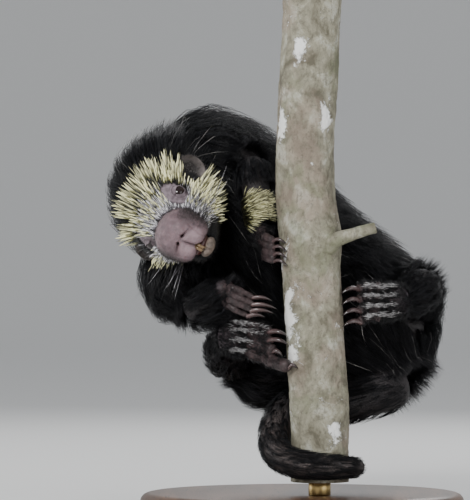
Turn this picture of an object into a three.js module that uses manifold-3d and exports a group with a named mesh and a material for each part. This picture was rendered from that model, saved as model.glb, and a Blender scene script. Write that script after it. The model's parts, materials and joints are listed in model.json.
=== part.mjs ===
// A life-size hairy dwarf porcupine clinging behind a slim tree trunk, as a still museum model on a stand.
// Millimetres, +Z up. The origin is on the underside of the base, straight below the foot of the trunk.
// The viewer looks along +Y: the body lies behind the trunk and the face looks out on its left, at -X.
import * as THREE from "three";
import Module from "manifold-3d";

const wasm = await Module();
wasm.setup();

// Driving dimensions of the stand and the trunk.
const BASE_THICK = 14;
const BASE_RADIUS = 118;
const BASE_CENTRE = [-8, 42];
const BASE_BEVEL = 2;
const ROD_RADIUS = 8;
const ROD_SHOWN = 10;
const TRUNK_RADIUS = 21.5;
const TRUNK_TOP = 380;
const TRUNK_FOOT = BASE_THICK + ROD_SHOWN;
const GAP = 0.3;

// Driving dimensions of the animal.
const EYE_RADIUS = 5.4;
const EYE_APART = 40;
const EYE_FORWARD = 4;
const EYE_LIFT = 1;
const LID_THICK = 1.7;
const SOCKET_RADIUS = 7.2;
const SOCKET_OUT = 8.4;
const HEAD_LENGTH = 104;
const CLAW_LENGTH = 12;
const CLAW_RADIUS = 1.7;
const QUILL_RADIUS = 0.95;
const QUILL_LONG = 20;
const QUILL_SHORT = 8;
const QUILL_SINK = 3;
const QUILL_COUNT = 190;
const QUILL_SPAN = [0.16, 0.82];
const QUILL_LEAN = 0.6;
const FOREARM_QUILLS = 11;
const FOREARM_SPAN = [0.42, 0.82];
const FOREARM_QUILL_LENGTH = 10;
const LOCK_SINK = 4;
const LOCK_TRIES = [[1, 1], [0.85, 1.25], [0.8, 1.6], [0.6, 1], [0.6, 1.5], [0.45, 1.7], [0.3, 1.2]];
const OPEN_FROM = 0.7;
const LOCK_SHARES = [0, 0.36, 0.72];
const LOCK_WIDTHS = [0.8, 1, 0.66];

const v = (x, y, z) => new THREE.Vector3(x, y, z);

// A small seeded generator, so that each build draws the same numbers.
function makeRandom(seed) {
  let state = seed;
  return () => {
    state = (state * 1664525 + 1013904223) % 4294967296;
    return state / 4294967296;
  };
}

// Solids from rings of points

// A closed solid through rings of equally many points. Each end closes on a pole, or flat where it is null.
function skinRings(rings, startPole, endPole) {
  const points = rings.flat();
  const sides = rings[0].length;
  const triangles = [];
  for (let r = 0; r + 1 < rings.length; r++) {
    for (let i = 0; i < sides; i++) {
      const a = r * sides + i;
      const b = r * sides + ((i + 1) % sides);
      triangles.push([a, b, b + sides], [a, b + sides, a + sides]);
    }
  }
  const last = (rings.length - 1) * sides;
  if (startPole) {
    const pole = points.push(startPole) - 1;
    for (let i = 0; i < sides; i++) triangles.push([(i + 1) % sides, i, pole]);
  } else {
    for (let i = 1; i + 1 < sides; i++) triangles.push([0, i + 1, i]);
  }
  if (endPole) {
    const pole = points.push(endPole) - 1;
    for (let i = 0; i < sides; i++) triangles.push([last + i, last + ((i + 1) % sides), pole]);
  } else {
    for (let i = 1; i + 1 < sides; i++) triangles.push([last, last + i, last + i + 1]);
  }
  return solidOf(points, triangles);
}

// A manifold solid of points and triangles, turned to face outwards.
function solidOf(points, triangles) {
  const volume = triangles.reduce((sum, [a, b, c]) => {
    const cross = new THREE.Vector3().crossVectors(points[b], points[c]);
    return sum + points[a].dot(cross);
  }, 0);
  const facing = volume < 0 ? triangles.map(([a, b, c]) => [a, c, b]) : triangles;
  return new wasm.Manifold(
    new wasm.Mesh({
      numProp: 3,
      vertProperties: new Float32Array(points.flatMap((p) => p.toArray())),
      triVerts: new Uint32Array(facing.flat()),
    }),
  );
}

const union = (solids) => wasm.Manifold.union(solids);

// Fusing can seal a hollow or cut a scrap loose. Only the largest closed surface stays.
function largest(solid) {
  const bodies = solid.decompose();
  return bodies.reduce((best, body) => (body.volume() > best.volume() ? body : best));
}

// A smooth tube through its path's points. across and height are the half sizes at each point, and up turns
// the section. grow makes the same tube larger all round, for cutting its place in a neighbour.
class Tube {
  constructor({ path, across, height = across, up, ...look }) {
    const { rings = 8, sides = 12, caps = [0.16, 0.16], rounded = 2 } = look;
    this.curve = new THREE.CatmullRomCurve3(path.map((p) => v(...p)));
    this.sizes = new THREE.CatmullRomCurve3(across.map((a, i) => v(a, height[i], 0)));
    this.length = this.curve.getLength();
    this.up = v(...up).normalize();
    this.sides = sides;
    this.caps = caps;
    this.stations = [];
    for (let i = 1; i <= rounded; i++) {
      this.stations.push(caps[0] * (1 - Math.cos(((Math.PI / 2) * i) / (rounded + 0.4))));
    }
    for (let i = 0; i < rings; i++) {
      this.stations.push(caps[0] + ((1 - caps[0] - caps[1]) * i) / (rings - 1));
    }
    for (let i = rounded; i >= 1; i--) {
      this.stations.push(1 - caps[1] * (1 - Math.cos(((Math.PI / 2) * i) / (rounded + 0.4))));
    }
  }

  // The section at t: its centre, its directions and its half sizes, rounded off towards both ends.
  section(t, grow = 0) {
    const centre = this.curve.getPoint(t);
    const along = this.curve.getTangent(t).normalize();
    const side = new THREE.Vector3().crossVectors(along, this.up).normalize();
    const up = new THREE.Vector3().crossVectors(side, along);
    const sizes = this.sizes.getPoint(t);
    const fromStart = Math.min(t / this.caps[0], 1);
    const fromEnd = Math.min((1 - t) / this.caps[1], 1);
    const round = Math.sqrt(1 - (1 - fromStart) ** 2) * Math.sqrt(1 - (1 - fromEnd) ** 2);
    return { centre, along, side, up, a: sizes.x * round + grow, b: sizes.y * round + grow };
  }

  // The point at t and angle, grow outside the tube. Past the ends it goes straight on, and open leaves the
  // ends unrounded.
  point(t, angle, grow = 0, open = false) {
    const inside = THREE.MathUtils.clamp(t, 0.004, 0.996);
    const { centre, along, side, up, a, b } = this.section(inside, grow);
    const sizes = open ? this.sizes.getPoint(inside).addScalar(grow) : { x: a, y: b };
    return centre
      .addScaledVector(along, (t - inside) * this.length)
      .addScaledVector(side, sizes.x * Math.cos(angle))
      .addScaledVector(up, sizes.y * Math.sin(angle));
  }

  // The directions on the surface at t and angle: outwards, along the tube, and across it.
  directions(t, angle, grow = 0) {
    const step = 0.004;
    const along = this.point(t + step, angle, grow).sub(this.point(t - step, angle, grow)).normalize();
    const around = this.point(t, angle + step, grow).sub(this.point(t, angle - step, grow)).normalize();
    const out = new THREE.Vector3().crossVectors(around, along).normalize();
    const { centre } = this.section(THREE.MathUtils.clamp(t, 0, 1));
    if (out.dot(this.point(t, angle, grow).sub(centre)) < 0) out.negate();
    return { out, along, across: new THREE.Vector3().crossVectors(out, along).normalize() };
  }

  solid(grow = 0) {
    const rings = this.stations.map((t) => {
      const { centre, side, up, a, b } = this.section(t, grow);
      return Array.from({ length: this.sides }, (_, i) => {
        const angle = (2 * Math.PI * i) / this.sides;
        return centre
          .clone()
          .addScaledVector(side, a * Math.cos(angle))
          .addScaledVector(up, b * Math.sin(angle));
      });
    });
    const start = this.section(0);
    const end = this.section(1);
    return skinRings(
      rings,
      start.centre.addScaledVector(start.along, -grow),
      end.centre.addScaledVector(end.along, grow),
    );
  }
}

// An ellipsoid of three half sizes about a centre, in its own axes. The matrix places it.
function ellipsoid(centre, sizes, matrix = new THREE.Matrix4(), rows = 8, sides = 12, grow = 0) {
  const [a, b, c] = sizes.map((s) => s + grow);
  const place = (x, y, z) => v(centre[0] + x, centre[1] + y, centre[2] + z).applyMatrix4(matrix);
  const rings = Array.from({ length: rows - 1 }, (_, r) => {
    const lat = (Math.PI * (r + 1)) / rows;
    return Array.from({ length: sides }, (_, i) => {
      const lon = (2 * Math.PI * i) / sides;
      const ring = Math.sin(lat);
      return place(a * Math.cos(lat), b * ring * Math.cos(lon), c * ring * Math.sin(lon));
    });
  });
  return skinRings(rings, place(a, 0, 0), place(-a, 0, 0));
}

// A curved, tapering spike: a quill of three sides or a claw of more. bend turns the tip in its direction.
function spike({ root, direction, length, radius, sides, sink, bend = v(0, 0, 0), shares }, grow = 0) {
  const helper = Math.abs(direction.z) < 0.9 ? v(0, 0, 1) : v(1, 0, 0);
  const side = new THREE.Vector3().crossVectors(direction, helper).normalize();
  const other = new THREE.Vector3().crossVectors(side, direction).normalize();
  const at = (s) =>
    root
      .clone()
      .addScaledVector(direction, -sink + s * (length + sink))
      .addScaledVector(bend, s * s);
  const rings = shares.map((s) => {
    const r = radius * (1 - 0.55 * s * s) + 2 * grow;
    return Array.from({ length: sides }, (_, i) => {
      const angle = (2 * Math.PI * i) / sides;
      return at(s)
        .addScaledVector(side, r * Math.cos(angle))
        .addScaledVector(other, r * Math.sin(angle));
    });
  });
  return skinRings(rings, null, at(1).addScaledVector(direction, 2 * grow));
}

// A flat, tapered lock of hair: a thin diamond section along a path that leaves the core at its root and
// comes out at the tips of the coat, following the tube it grows on. grow makes it larger all round.
function lockSolid(tube, { t, angle, reach, swing, width, thick, core, tips }, grow = 0) {
  const at = (s) => {
    const rise = 1 - (1 - s) ** 2;
    const low = tube.point(t + reach * s, angle + swing * s, core - LOCK_SINK);
    const high = tube.point(t + reach * s, angle + swing * s, tips, t < OPEN_FROM);
    return low.lerp(high, rise);
  };
  const rings = LOCK_SHARES.map((s, i) => {
    const half = (width * LOCK_WIDTHS[i]) / 2 + grow;
    const deep = (thick * (1 - 0.55 * s)) / 2 + grow;
    const ahead = at(s + 0.02).sub(at(s - 0.02)).normalize();
    const on = THREE.MathUtils.clamp(t + reach * s, 0.02, 0.98);
    const across = tube.directions(on, angle + swing * s).across;
    const flat = new THREE.Vector3().crossVectors(ahead, across).normalize();
    return [
      at(s).addScaledVector(across, half),
      at(s).addScaledVector(flat, deep),
      at(s).addScaledVector(across, -half),
      at(s).addScaledVector(flat, -deep),
    ];
  });
  const end = at(1).sub(at(0.96)).normalize();
  return skinRings(rings, null, at(1).addScaledVector(end, 2 * grow));
}

// The trunk: a slim, slightly leaning stem with a knot and the stub of a cut twig.
const trunk = new Tube({
  path: [
    [4, 0, TRUNK_FOOT],
    [4, 0, 60],
    [1, 0, 120],
    [-1, 0, 165],
    [-3, 0, 198],
    [-6.5, 0, 250],
    [-5, 0, 305],
    [-2, 0, 350],
    [-1, 0, TRUNK_TOP],
  ],
  across: [21.5, 21, 21.5, 21.5, 24, 21, 21.5, 22, 22],
  up: [0, 1, 0],
  rings: 14,
  sides: 20,
});

// The middle of the trunk at a height.
function trunkAxis(z) {
  const share = THREE.MathUtils.clamp((z - TRUNK_FOOT) / (TRUNK_TOP - TRUNK_FOOT), 0, 1);
  let low = 0;
  let high = 1;
  let t = share;
  for (let i = 0; i < 24; i++) {
    if (trunk.curve.getPoint(t).z < z) low = t;
    else high = t;
    t = (low + high) / 2;
  }
  return trunk.curve.getPoint(t);
}

// A point off the trunk's bark: degrees round from +X towards +Y, a height, and the distance out from it.
function onTrunk(degrees, z, out) {
  const axis = trunkAxis(z);
  const angle = THREE.MathUtils.degToRad(degrees);
  const r = TRUNK_RADIUS + out;
  return [axis.x + r * Math.cos(angle), axis.y + r * Math.sin(angle), z];
}

function trunkSolid(grow = 0) {
  const sides = 16;
  const levels = 12;
  const rings = Array.from({ length: levels }, (_, i) => {
    const share = i / (levels - 1);
    const z = TRUNK_FOOT + (TRUNK_TOP - TRUNK_FOOT) * share;
    const axis = trunkAxis(z);
    const knot = 2.6 * Math.exp(-(((z - 200) / 16) ** 2));
    return Array.from({ length: sides }, (_, k) => {
      const angle = (2 * Math.PI * k) / sides;
      const towardsKnot = Math.max(0, Math.cos(angle + 0.8));
      const ripple = 0.5 * Math.sin(3 * angle + z / 40) + knot * (0.3 + towardsKnot);
      const r = TRUNK_RADIUS + ripple + grow;
      return v(axis.x + r * Math.cos(angle), axis.y + r * Math.sin(angle), z);
    });
  });
  return skinRings(rings, null, null);
}

// The stub of a twig that leaves the knot, cut off short.
const twig = new Tube({
  path: [[6, -12, 190], [16, -20, 198], [30, -23, 203], [44, -22, 207]],
  across: [8, 5.5, 4.2, 4],
  up: [0, 0, 1],
  rings: 4,
  sides: 8,
  caps: [0.1, 0.04],
  rounded: 1,
});

// The head's own frame, from between the eyes: x forward along the snout, y to its left, z to its crown.
const HEAD_ORIGIN = v(-106, 2, 214.5);
const HEAD_ROLL = THREE.MathUtils.degToRad(62);
const HEAD_YAW = THREE.MathUtils.degToRad(-12);
const HEAD_PITCH = THREE.MathUtils.degToRad(-5);

function headMatrix() {
  const forward = v(0, -1, 0);
  const up = v(-Math.sin(HEAD_ROLL), 0, Math.cos(HEAD_ROLL));
  const left = new THREE.Vector3().crossVectors(up, forward);
  forward.applyAxisAngle(up, HEAD_YAW);
  left.applyAxisAngle(up, HEAD_YAW);
  forward.applyAxisAngle(left, -HEAD_PITCH);
  up.applyAxisAngle(left, -HEAD_PITCH);
  return new THREE.Matrix4().makeBasis(forward, left, up).setPosition(HEAD_ORIGIN);
}

const HEAD = headMatrix();
const inHead = (x, y, z) => v(x, y, z).applyMatrix4(HEAD);
const headWay = (x, y, z) => v(x, y, z).transformDirection(HEAD);
const headPlace = (x, y, z) => HEAD.clone().multiply(new THREE.Matrix4().makeTranslation(x, y, z));

const skull = new Tube({
  path: [
    [-50, 0, -5],
    [-34, 0, -5],
    [-16, 0, -6],
    [0, 0, -7],
    [14, 0, -10],
    [28, 0, -12],
    [HEAD_LENGTH - 66, 0, -13],
  ].map((p) => inHead(...p).toArray()),
  across: [29, 31.5, 32, 28, 23, 19, 17],
  height: [26, 29, 30, 27.5, 22, 17, 14],
  up: headWay(0, 0, 1).toArray(),
  rings: 7,
  sides: 14,
  caps: [0.18, 0.08],
});

const jaw = new Tube({
  path: [
    [-14, 0, -23],
    [8, 0, -27],
    [24, 0, -31],
    [34, 0, -34],
  ].map((p) => inHead(...p).toArray()),
  across: [19, 15, 9.5, 6.5],
  height: [14, 9.5, 6, 4.2],
  up: headWay(0, 0, 1).toArray(),
  rings: 4,
  sides: 10,
});

// Spheres and soft bulbs of the face, in the head's frame.
const noseBulb = (grow) => ellipsoid([32, 0, -11.4], [19, 19.4, 17], HEAD, 8, 12, grow);
const lipLobe = (side, grow) => ellipsoid([35, 6.2 * side, -21.5], [11.5, 8.5, 8], HEAD, 5, 8, grow);
const whiskerPad = (side, grow) => ellipsoid([30.5, 8.6 * side, -18.5], [11.2, 9.4, 10.6], HEAD, 4, 8, grow);
const noseSolid = (grow = 0) =>
  union([noseBulb(grow), ...[1, -1].flatMap((side) => [lipLobe(side, grow), whiskerPad(side, grow)])]);
const eyeCentre = (side) => [EYE_FORWARD, (side * EYE_APART) / 2, EYE_LIFT];
const eyeSolid = (side, grow = 0) =>
  ellipsoid(eyeCentre(side), [EYE_RADIUS, EYE_RADIUS, EYE_RADIUS], HEAD, 6, 8, grow);

// The nostrils, the cleft below them and the line of the mouth, taken out of the nose.
function nostrils() {
  const holes = [1, -1].map((side) => {
    const turn = new THREE.Matrix4().makeRotationX(side * 0.5);
    const place = headPlace(49, 3.6 * side, -14.5).multiply(turn);
    return ellipsoid([0, 0, 0], [4, 1.2, 2.6], place, 4, 6);
  });
  const cleft = ellipsoid([50.5, 0, -21], [3, 0.7, 6], HEAD, 4, 6);
  return union([...holes, cleft]);
}

// A pair of gnawing teeth side by side, from their gum to their chisel edge.
function incisors(rootX, rootZ, tipX, tipZ, width, grow = 0) {
  const pair = [1, -1].map((side) =>
    new Tube({
      path: [
        [rootX, side * width * 0.48, rootZ],
        [(rootX + tipX) / 2 + 0.7, side * width * 0.48, (rootZ + tipZ) / 2],
        [tipX, side * width * 0.48, tipZ],
      ].map((p) => inHead(...p).toArray()),
      across: [width / 2, width / 2, width / 2.3],
      height: [1.3, 1.2, 0.8],
      up: headWay(1, 0, 0).toArray(),
      rings: 3,
      sides: 5,
      caps: [0.08, 0.08],
      rounded: 0,
    }).solid(grow),
  );
  return union(pair);
}

// The direction that an eye looks in: forward and out to its side.
const eyeLook = (side) => headWay(0.42, side, 0.1).normalize();

// A shallow dish round an eye, taken out of the head so that the ball stands free in it.
const socket = (side) => {
  const middle = inHead(...eyeCentre(side)).addScaledVector(eyeLook(side), SOCKET_OUT);
  const place = new THREE.Matrix4().makeTranslation(middle);
  return ellipsoid([0, 0, 0], [SOCKET_RADIUS, SOCKET_RADIUS, SOCKET_RADIUS], place, 5, 8);
};

// The lids: a low ring round each eye, a little flatter than round.
const lidRing = (side) => {
  const outward = eyeLook(side);
  const centre = inHead(...eyeCentre(side)).addScaledVector(outward, 2.6);
  const first = new THREE.Vector3().crossVectors(outward, headWay(1, 0, 0)).normalize();
  const second = new THREE.Vector3().crossVectors(outward, first).normalize();
  const around = 10;
  const tube = 4;
  const flat = 0.82;
  const points = [];
  const triangles = [];
  for (let i = 0; i < around; i++) {
    const angle = (2 * Math.PI * i) / around;
    const spoke = first
      .clone()
      .multiplyScalar(Math.cos(angle))
      .addScaledVector(second, flat * Math.sin(angle));
    for (let k = 0; k < tube; k++) {
      const turn = (2 * Math.PI * k) / tube;
      points.push(
        centre
          .clone()
          .addScaledVector(spoke, EYE_RADIUS + 0.6 + LID_THICK * Math.cos(turn))
          .addScaledVector(outward, LID_THICK * Math.sin(turn) - 0.6),
      );
      const a = i * tube + k;
      const b = i * tube + ((k + 1) % tube);
      const c = ((i + 1) % around) * tube + k;
      const d = ((i + 1) % around) * tube + ((k + 1) % tube);
      triangles.push([a, b, d], [a, d, c]);
    }
  }
  return solidOf(points, triangles);
};

// An ear: a small round cup, hollow to the front, on the side of the head.
function earPlace(side) {
  const tilt = new THREE.Matrix4().makeRotationZ(side * 0.5);
  return headPlace(-29, side * 33, -1).multiply(tilt);
}
const earCup = (side, grow) => ellipsoid([0, 0, 0], [5, 9.5, 10], earPlace(side), 6, 8, grow);
const earHollow = (side) => ellipsoid([4.4, side * 1.2, 0], [5.4, 7.2, 7.6], earPlace(side), 5, 8);

// Trunk of the body, from the shoulders to the rump, lying behind the tree from upper left to lower right.
const BODY_UP = [0.1, 1, 0.12];
const torso = new Tube({
  path: [
    [-121, 64, 246],
    [-86, 76, 237],
    [-49, 87, 209],
    [-14, 92, 173],
    [18, 88, 145],
    [44, 76, 122],
    [66, 60, 98],
  ],
  across: [37, 46, 48, 49, 50, 46, 30],
  height: [34, 43, 46, 47, 47, 43, 28],
  up: BODY_UP,
  rings: 10,
  sides: 16,
  caps: [0.14, 0.14],
});

const neck = new Tube({
  path: [inHead(-26, 0, -4).toArray(), [-103, 44, 221], [-99, 60, 228], [-94, 76, 233]],
  across: [31, 34, 37, 37],
  up: [-0.885, 0, 0.466],
  rings: 4,
  sides: 14,
  caps: [0.1, 0.1],
});

// The coat of each part. core is how far the solid under it stands out from the flesh, and tips how far its
// locks do. rows of locks lie along the part within its span, spaced apart round it. size is each lock's
// length, width and thickness.
const coats = {
  torso: { core: 9, tips: 23, rows: 9, span: [0.03, 0.9], spacing: 32, size: [44, 31, 3.4] },
  neck: { core: 7, tips: 22, rows: 3, span: [0.08, 0.6], spacing: 29, size: [36, 27, 3] },
  upper_arm: { core: 4, tips: 13, rows: 3, span: [0.14, 0.72], spacing: 24, size: [27, 22, 2.6] },
  forearm: { core: 1.5, tips: 5, rows: 2, span: [0.2, 0.55], spacing: 21, size: [20, 18, 2.2] },
  thigh: { core: 4, tips: 13, rows: 3, span: [0.16, 0.74], spacing: 25, size: [29, 23, 2.6] },
  shank: { core: 1.5, tips: 5.5, rows: 2, span: [0.2, 0.58], spacing: 22, size: [21, 19, 2.2] },
  tail_base: { core: 1.5, tips: 5, rows: 3, span: [0.14, 0.66], spacing: 24, size: [28, 20, 2.4] },
};
const coatOf = (name) => coats[name.replace(/_(left|right)$/, "")];

// Limbs as tubes, from the body out: a path, half sizes across and half sizes high. Each is named by the
// part, and the animal's own right or left.
const limb = (path, across, height, up) =>
  new Tube({ path, across, height, up, rings: 4, sides: 10, caps: [0.22, 0.14] });

const limbs = {
  upper_arm_right: limb(
    [[-97, 62, 192], [-96, 44, 169], [-88, 27, 149]], [25, 21, 15], [23, 19, 14], [0, 1, 0.4]),
  forearm_right: limb(
    [[-88, 26, 148], [-77, 13, 153], [-63, 3, 162]], [14, 12, 8.5], [13, 11, 8], [0, 0, 1]),
  upper_arm_left: limb(
    [[-66, 74, 238], [-56, 54, 250], [-46, 34, 256]], [22, 18, 14], [20, 17, 13], [1, 0, 0]),
  forearm_left: limb(
    [[-45, 35, 257], [-42, 22, 236], [-36, 11, 210]], [13, 11.5, 8], [12, 10.5, 8], [1, 0, 0]),
  thigh_right: limb(
    [[18, 78, 106], [-18, 74, 104], [-54, 62, 106]], [33, 27, 19], [30, 25, 18], [0, 0, 1]),
  shank_right: limb(
    [[-55, 64, 106], [-62, 40, 116], [-64, 16, 127]], [18, 14, 9.5], [17, 13, 9], [0, 0, 1]),
  thigh_left: limb(
    [[42, 84, 132], [62, 68, 150], [80, 48, 166]], [32, 26, 18], [30, 24, 17], [0, 0, 1]),
  shank_left: limb(
    [[80, 50, 166], [76, 30, 160], [66, 11, 154]], [17, 13, 9.5], [16, 12, 9], [0, 0, 1]),
};

// The tail winds down once round the trunk. Each length is one quarter to one half of a turn.
const tailLengths = {
  tail_base: {
    path: [[64, 62, 98], [46, 52, 89], [22, 46, 81], [-4, 42.5, 76]],
    across: [22, 18.5, 16, 14.5],
    height: [20, 17, 15.5, 14],
  },
  tail_middle: {
    path: [[-2, 42, 76], onTrunk(122, 73, 15), onTrunk(144, 66, 12.6), onTrunk(166, 55, 11.4)],
    across: [14, 13.6, 12.2, 11],
  },
  tail_grip: {
    path: [onTrunk(164, 56, 11.4), onTrunk(190, 46, 10.4), onTrunk(222, 40, 9.8), onTrunk(256, 37, 9.2)],
    across: [10.8, 10, 9.4, 8.8],
  },
  tail_end: {
    path: [onTrunk(254, 37, 9.2), onTrunk(292, 36, 8.4), onTrunk(332, 35, 7.2), onTrunk(372, 35, 6)],
    across: [8.7, 7.8, 6.5, 4.6],
  },
};
const tails = Object.fromEntries(
  Object.entries(tailLengths).map(([name, { path, across, height = across }]) => [
    name,
    new Tube({ path, across, height, up: [0, 0, 1], rings: 5, sides: 10, caps: [0.1, 0.1] }),
  ]),
);

// Paws. Each has a palm, four digits with claws, and a pad towards the trunk.
// A digit is a list of points from the palm to where its claw starts, and the claw goes on round the bark.
const paws = {
  hand_right: {
    palm: [[-62, 3, 163], [-55, -2, 161], [-47, -3, 158]],
    palmSize: [[9, 12, 11], [8, 8, 6]],
    up: [0.1, 1, 0],
    digits: [0, 1, 2, 3].map((i) => [
      [-51, -3 + i * 1.2, 166 - i * 5],
      [-42, -6 + i * 1.2, 163 - i * 4.2],
      [-34, -4 + i * 1.2, 158 - i * 3.2],
    ]),
    digitSize: [4.4, 3.9, 3.1],
    claws: [0, 1, 2, 3].map((i) => ({ way: [1, 0.18, -0.25 + i * 0.06], bend: [0, 3, -2] })),
  },
  hand_left: {
    palm: [[-37, 12, 211], [-34, 6, 204], [-32, 0, 199]],
    palmSize: [[8.5, 11, 10], [7, 6, 5]],
    up: [1, 0.2, 0],
    digits: [0, 1, 2, 3].map((i) => [
      onTrunk(172 + i, 205 - i * 4.4, 8.5),
      onTrunk(192, 203 - i * 4.8, 5.5),
      onTrunk(208, 201 - i * 4.8, 3.6),
    ]),
    digitSize: [4, 3.7, 3],
    claws: [0, 1, 2, 3].map(() => ({ way: [0.62, -0.78, -0.1], bend: [4, 1.5, 0] })),
  },
  foot_right: {
    palm: [[-66, 16, 128], [-56, 7, 127], [-43, 2, 124]],
    palmSize: [[10, 13, 14], [9, 9, 7]],
    up: [0.2, 1, 0],
    digits: [
      [136.5, 133.5, 131],
      [131, 127.5, 125],
      [124, 119, 116.5],
      [116.5, 111.5, 108.5],
    ].map(([start, middle, end]) => [[-46, 2, start], onTrunk(186, middle, 7.5), onTrunk(206, end, 3.9)]),
    digitSize: [4.9, 4.3, 3.4],
    claws: [0, 1, 2, 3].map(() => ({ way: [0.6, -0.8, -0.12], bend: [4.5, 1.5, 0] })),
  },
  foot_left: {
    palm: [[66, 12, 154], [55, 5, 153], [43, 1, 152]],
    palmSize: [[10, 13, 14], [9, 9, 7]],
    up: [-0.2, 1, 0],
    digits: [0, 1, 2, 3].map((i) => [
      [45, 1, 163 - i * 7],
      onTrunk(-7, 164 - i * 7.6, 7.5),
      onTrunk(-26, 162 - i * 8.2, 3.9),
    ]),
    digitSize: [4.9, 4.3, 3.4],
    claws: [0, 1, 2, 3].map(() => ({ way: [-0.6, -0.8, -0.12], bend: [-4.5, 1.5, 0] })),
  },
};

const palmTube = ({ palm: path, palmSize: [across, height], up }) =>
  new Tube({ path, across, height, up, rings: 3, sides: 8, caps: [0.16, 0.2] });
const digitTube = (path, across) =>
  new Tube({ path, across, up: [0.1, 0, 1], rings: 3, sides: 6, caps: [0.12, 0.16], rounded: 1 });

function pawSolid({ digits, digitSize, claws, ...palm }) {
  const pieces = [palmTube(palm).solid()];
  digits.forEach((path, i) => {
    pieces.push(
      digitTube(path, digitSize).solid(),
      spike({
        root: v(...path[path.length - 1]),
        direction: v(...claws[i].way).normalize(),
        length: CLAW_LENGTH,
        radius: CLAW_RADIUS,
        sides: 4,
        sink: 2,
        bend: v(...claws[i].bend),
        shares: [0, 0.5],
      }),
    );
  });
  return union(pieces);
}

// The stand

function baseSolid() {
  const outline = new THREE.Shape();
  outline.absarc(BASE_CENTRE[0], BASE_CENTRE[1], BASE_RADIUS - BASE_BEVEL, 0, 2 * Math.PI, false);
  return new THREE.ExtrudeGeometry(outline, {
    depth: BASE_THICK - 2 * BASE_BEVEL,
    bevelEnabled: true,
    bevelThickness: BASE_BEVEL,
    bevelSize: BASE_BEVEL,
    bevelSegments: 1,
    curveSegments: 16,
  }).translate(0, 0, BASE_BEVEL);
}

function rodSolid() {
  const foot = trunkAxis(TRUNK_FOOT);
  return new THREE.CylinderGeometry(ROD_RADIUS, ROD_RADIUS, ROD_SHOWN - 2 * GAP, 16)
    .rotateX(Math.PI / 2)
    .translate(foot.x, foot.y, BASE_THICK + ROD_SHOWN / 2);
}

// Putting the nodes together

const materials = {
  fur: { color: 0x17151a, roughness: 0.85 },
  quilled_face: { color: 0xb9ad62, roughness: 0.6 },
  nose_skin: { color: 0x8d6a68, roughness: 0.6 },
  ear_skin: { color: 0x4a3a35, roughness: 0.7 },
  paw_skin: { color: 0x4b3836, roughness: 0.6 },
  eye: { color: 0x120a0a, roughness: 0.08 },
  tooth: { color: 0xc98a35, roughness: 0.35 },
  bark: { color: 0x9a927c, roughness: 0.9 },
  stand_wood: { color: 0x3a271b, roughness: 0.45 },
  stand_metal: { color: 0x9a8a5c, roughness: 0.3, metalness: 1 },
};

const model = new THREE.Group();

function addMesh(name, geometry, look) {
  const mesh = new THREE.Mesh(geometry, new THREE.MeshStandardMaterial(materials[look]));
  mesh.name = name;
  model.add(mesh);
}

function geometryOf(solid) {
  const { vertProperties, triVerts, numProp, numVert } = solid.getMesh();
  const positions = new Float32Array(numVert * 3);
  for (let i = 0; i < numVert; i++) {
    positions.set(vertProperties.subarray(i * numProp, i * numProp + 3), i * 3);
  }
  return new THREE.BufferGeometry()
    .setAttribute("position", new THREE.BufferAttribute(positions, 3))
    .setIndex(new THREE.BufferAttribute(new Uint32Array(triVerts), 1));
}

// Each node has its look, its core, the core grown by the gap, and what grows on it. A core is cut clear of
// all that were placed before it.
const nodes = new Map();

function place(name, look, make, grown) {
  const core = [...nodes.values()].reduce((solid, other) => solid.subtract(other.grown), make);
  nodes.set(name, { look, core: largest(core), grown, pieces: [], shells: [boxed(grown)] });
}

// A solid with its bounding box, so that far pieces are passed over quickly.
function boxed(solid) {
  const { min, max } = solid.boundingBox();
  return { solid, box: new THREE.Box3(v(...min), v(...max)) };
}

const meets = (one, other) =>
  one.box.intersectsBox(other.box) && !one.solid.intersect(other.solid).isEmpty();

// Adds a lock or quill to a node, as the first of its tries that stays clear of all other nodes.
function grow(name, tries) {
  const own = nodes.get(name);
  const others = [...nodes.values()].filter((node) => node !== own).flatMap((node) => node.shells);
  const clear = tries.find((make) => {
    const shell = boxed(make(GAP));
    return !others.some((other) => meets(shell, other));
  });
  if (!clear) return;
  own.pieces.push(clear(0));
  own.shells.push(boxed(clear(0)));
}

// Covers a tube with rows of locks, each row half a space round from the last, the tips a little uneven.
function growCoat(name, tube, seed) {
  const { core, tips, rows, span, spacing, size } = coatOf(name);
  const [length, width, thick] = size;
  const random = makeRandom(seed);
  const vary = (share) => 1 + share * (2 * random() - 1);
  for (let row = 0; row < rows; row++) {
    const t = THREE.MathUtils.lerp(...span, row / (rows - 1));
    const { a, b } = tube.section(t, core);
    const count = Math.max(3, Math.round((Math.PI * (a + b)) / spacing));
    for (let k = 0; k < count; k++) {
      const angle = (2 * Math.PI * (k + 0.5 * (row % 2) + 0.22 * (random() - 0.5))) / count;
      const start = t + 0.02 * (random() - 0.5);
      const reach = (length * vary(0.12)) / tube.length;
      const swing = 0.24 * (random() - 0.5);
      const look = { angle, t: start, swing, width: width * vary(0.1), thick, core };
      const high = tips * vary(0.12);
      grow(
        name,
        LOCK_TRIES.map(([share, lift]) => (gap) =>
          lockSolid(tube, { ...look, reach: reach * share, tips: high * lift }, gap),
        ),
      );
    }
  }
}

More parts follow.
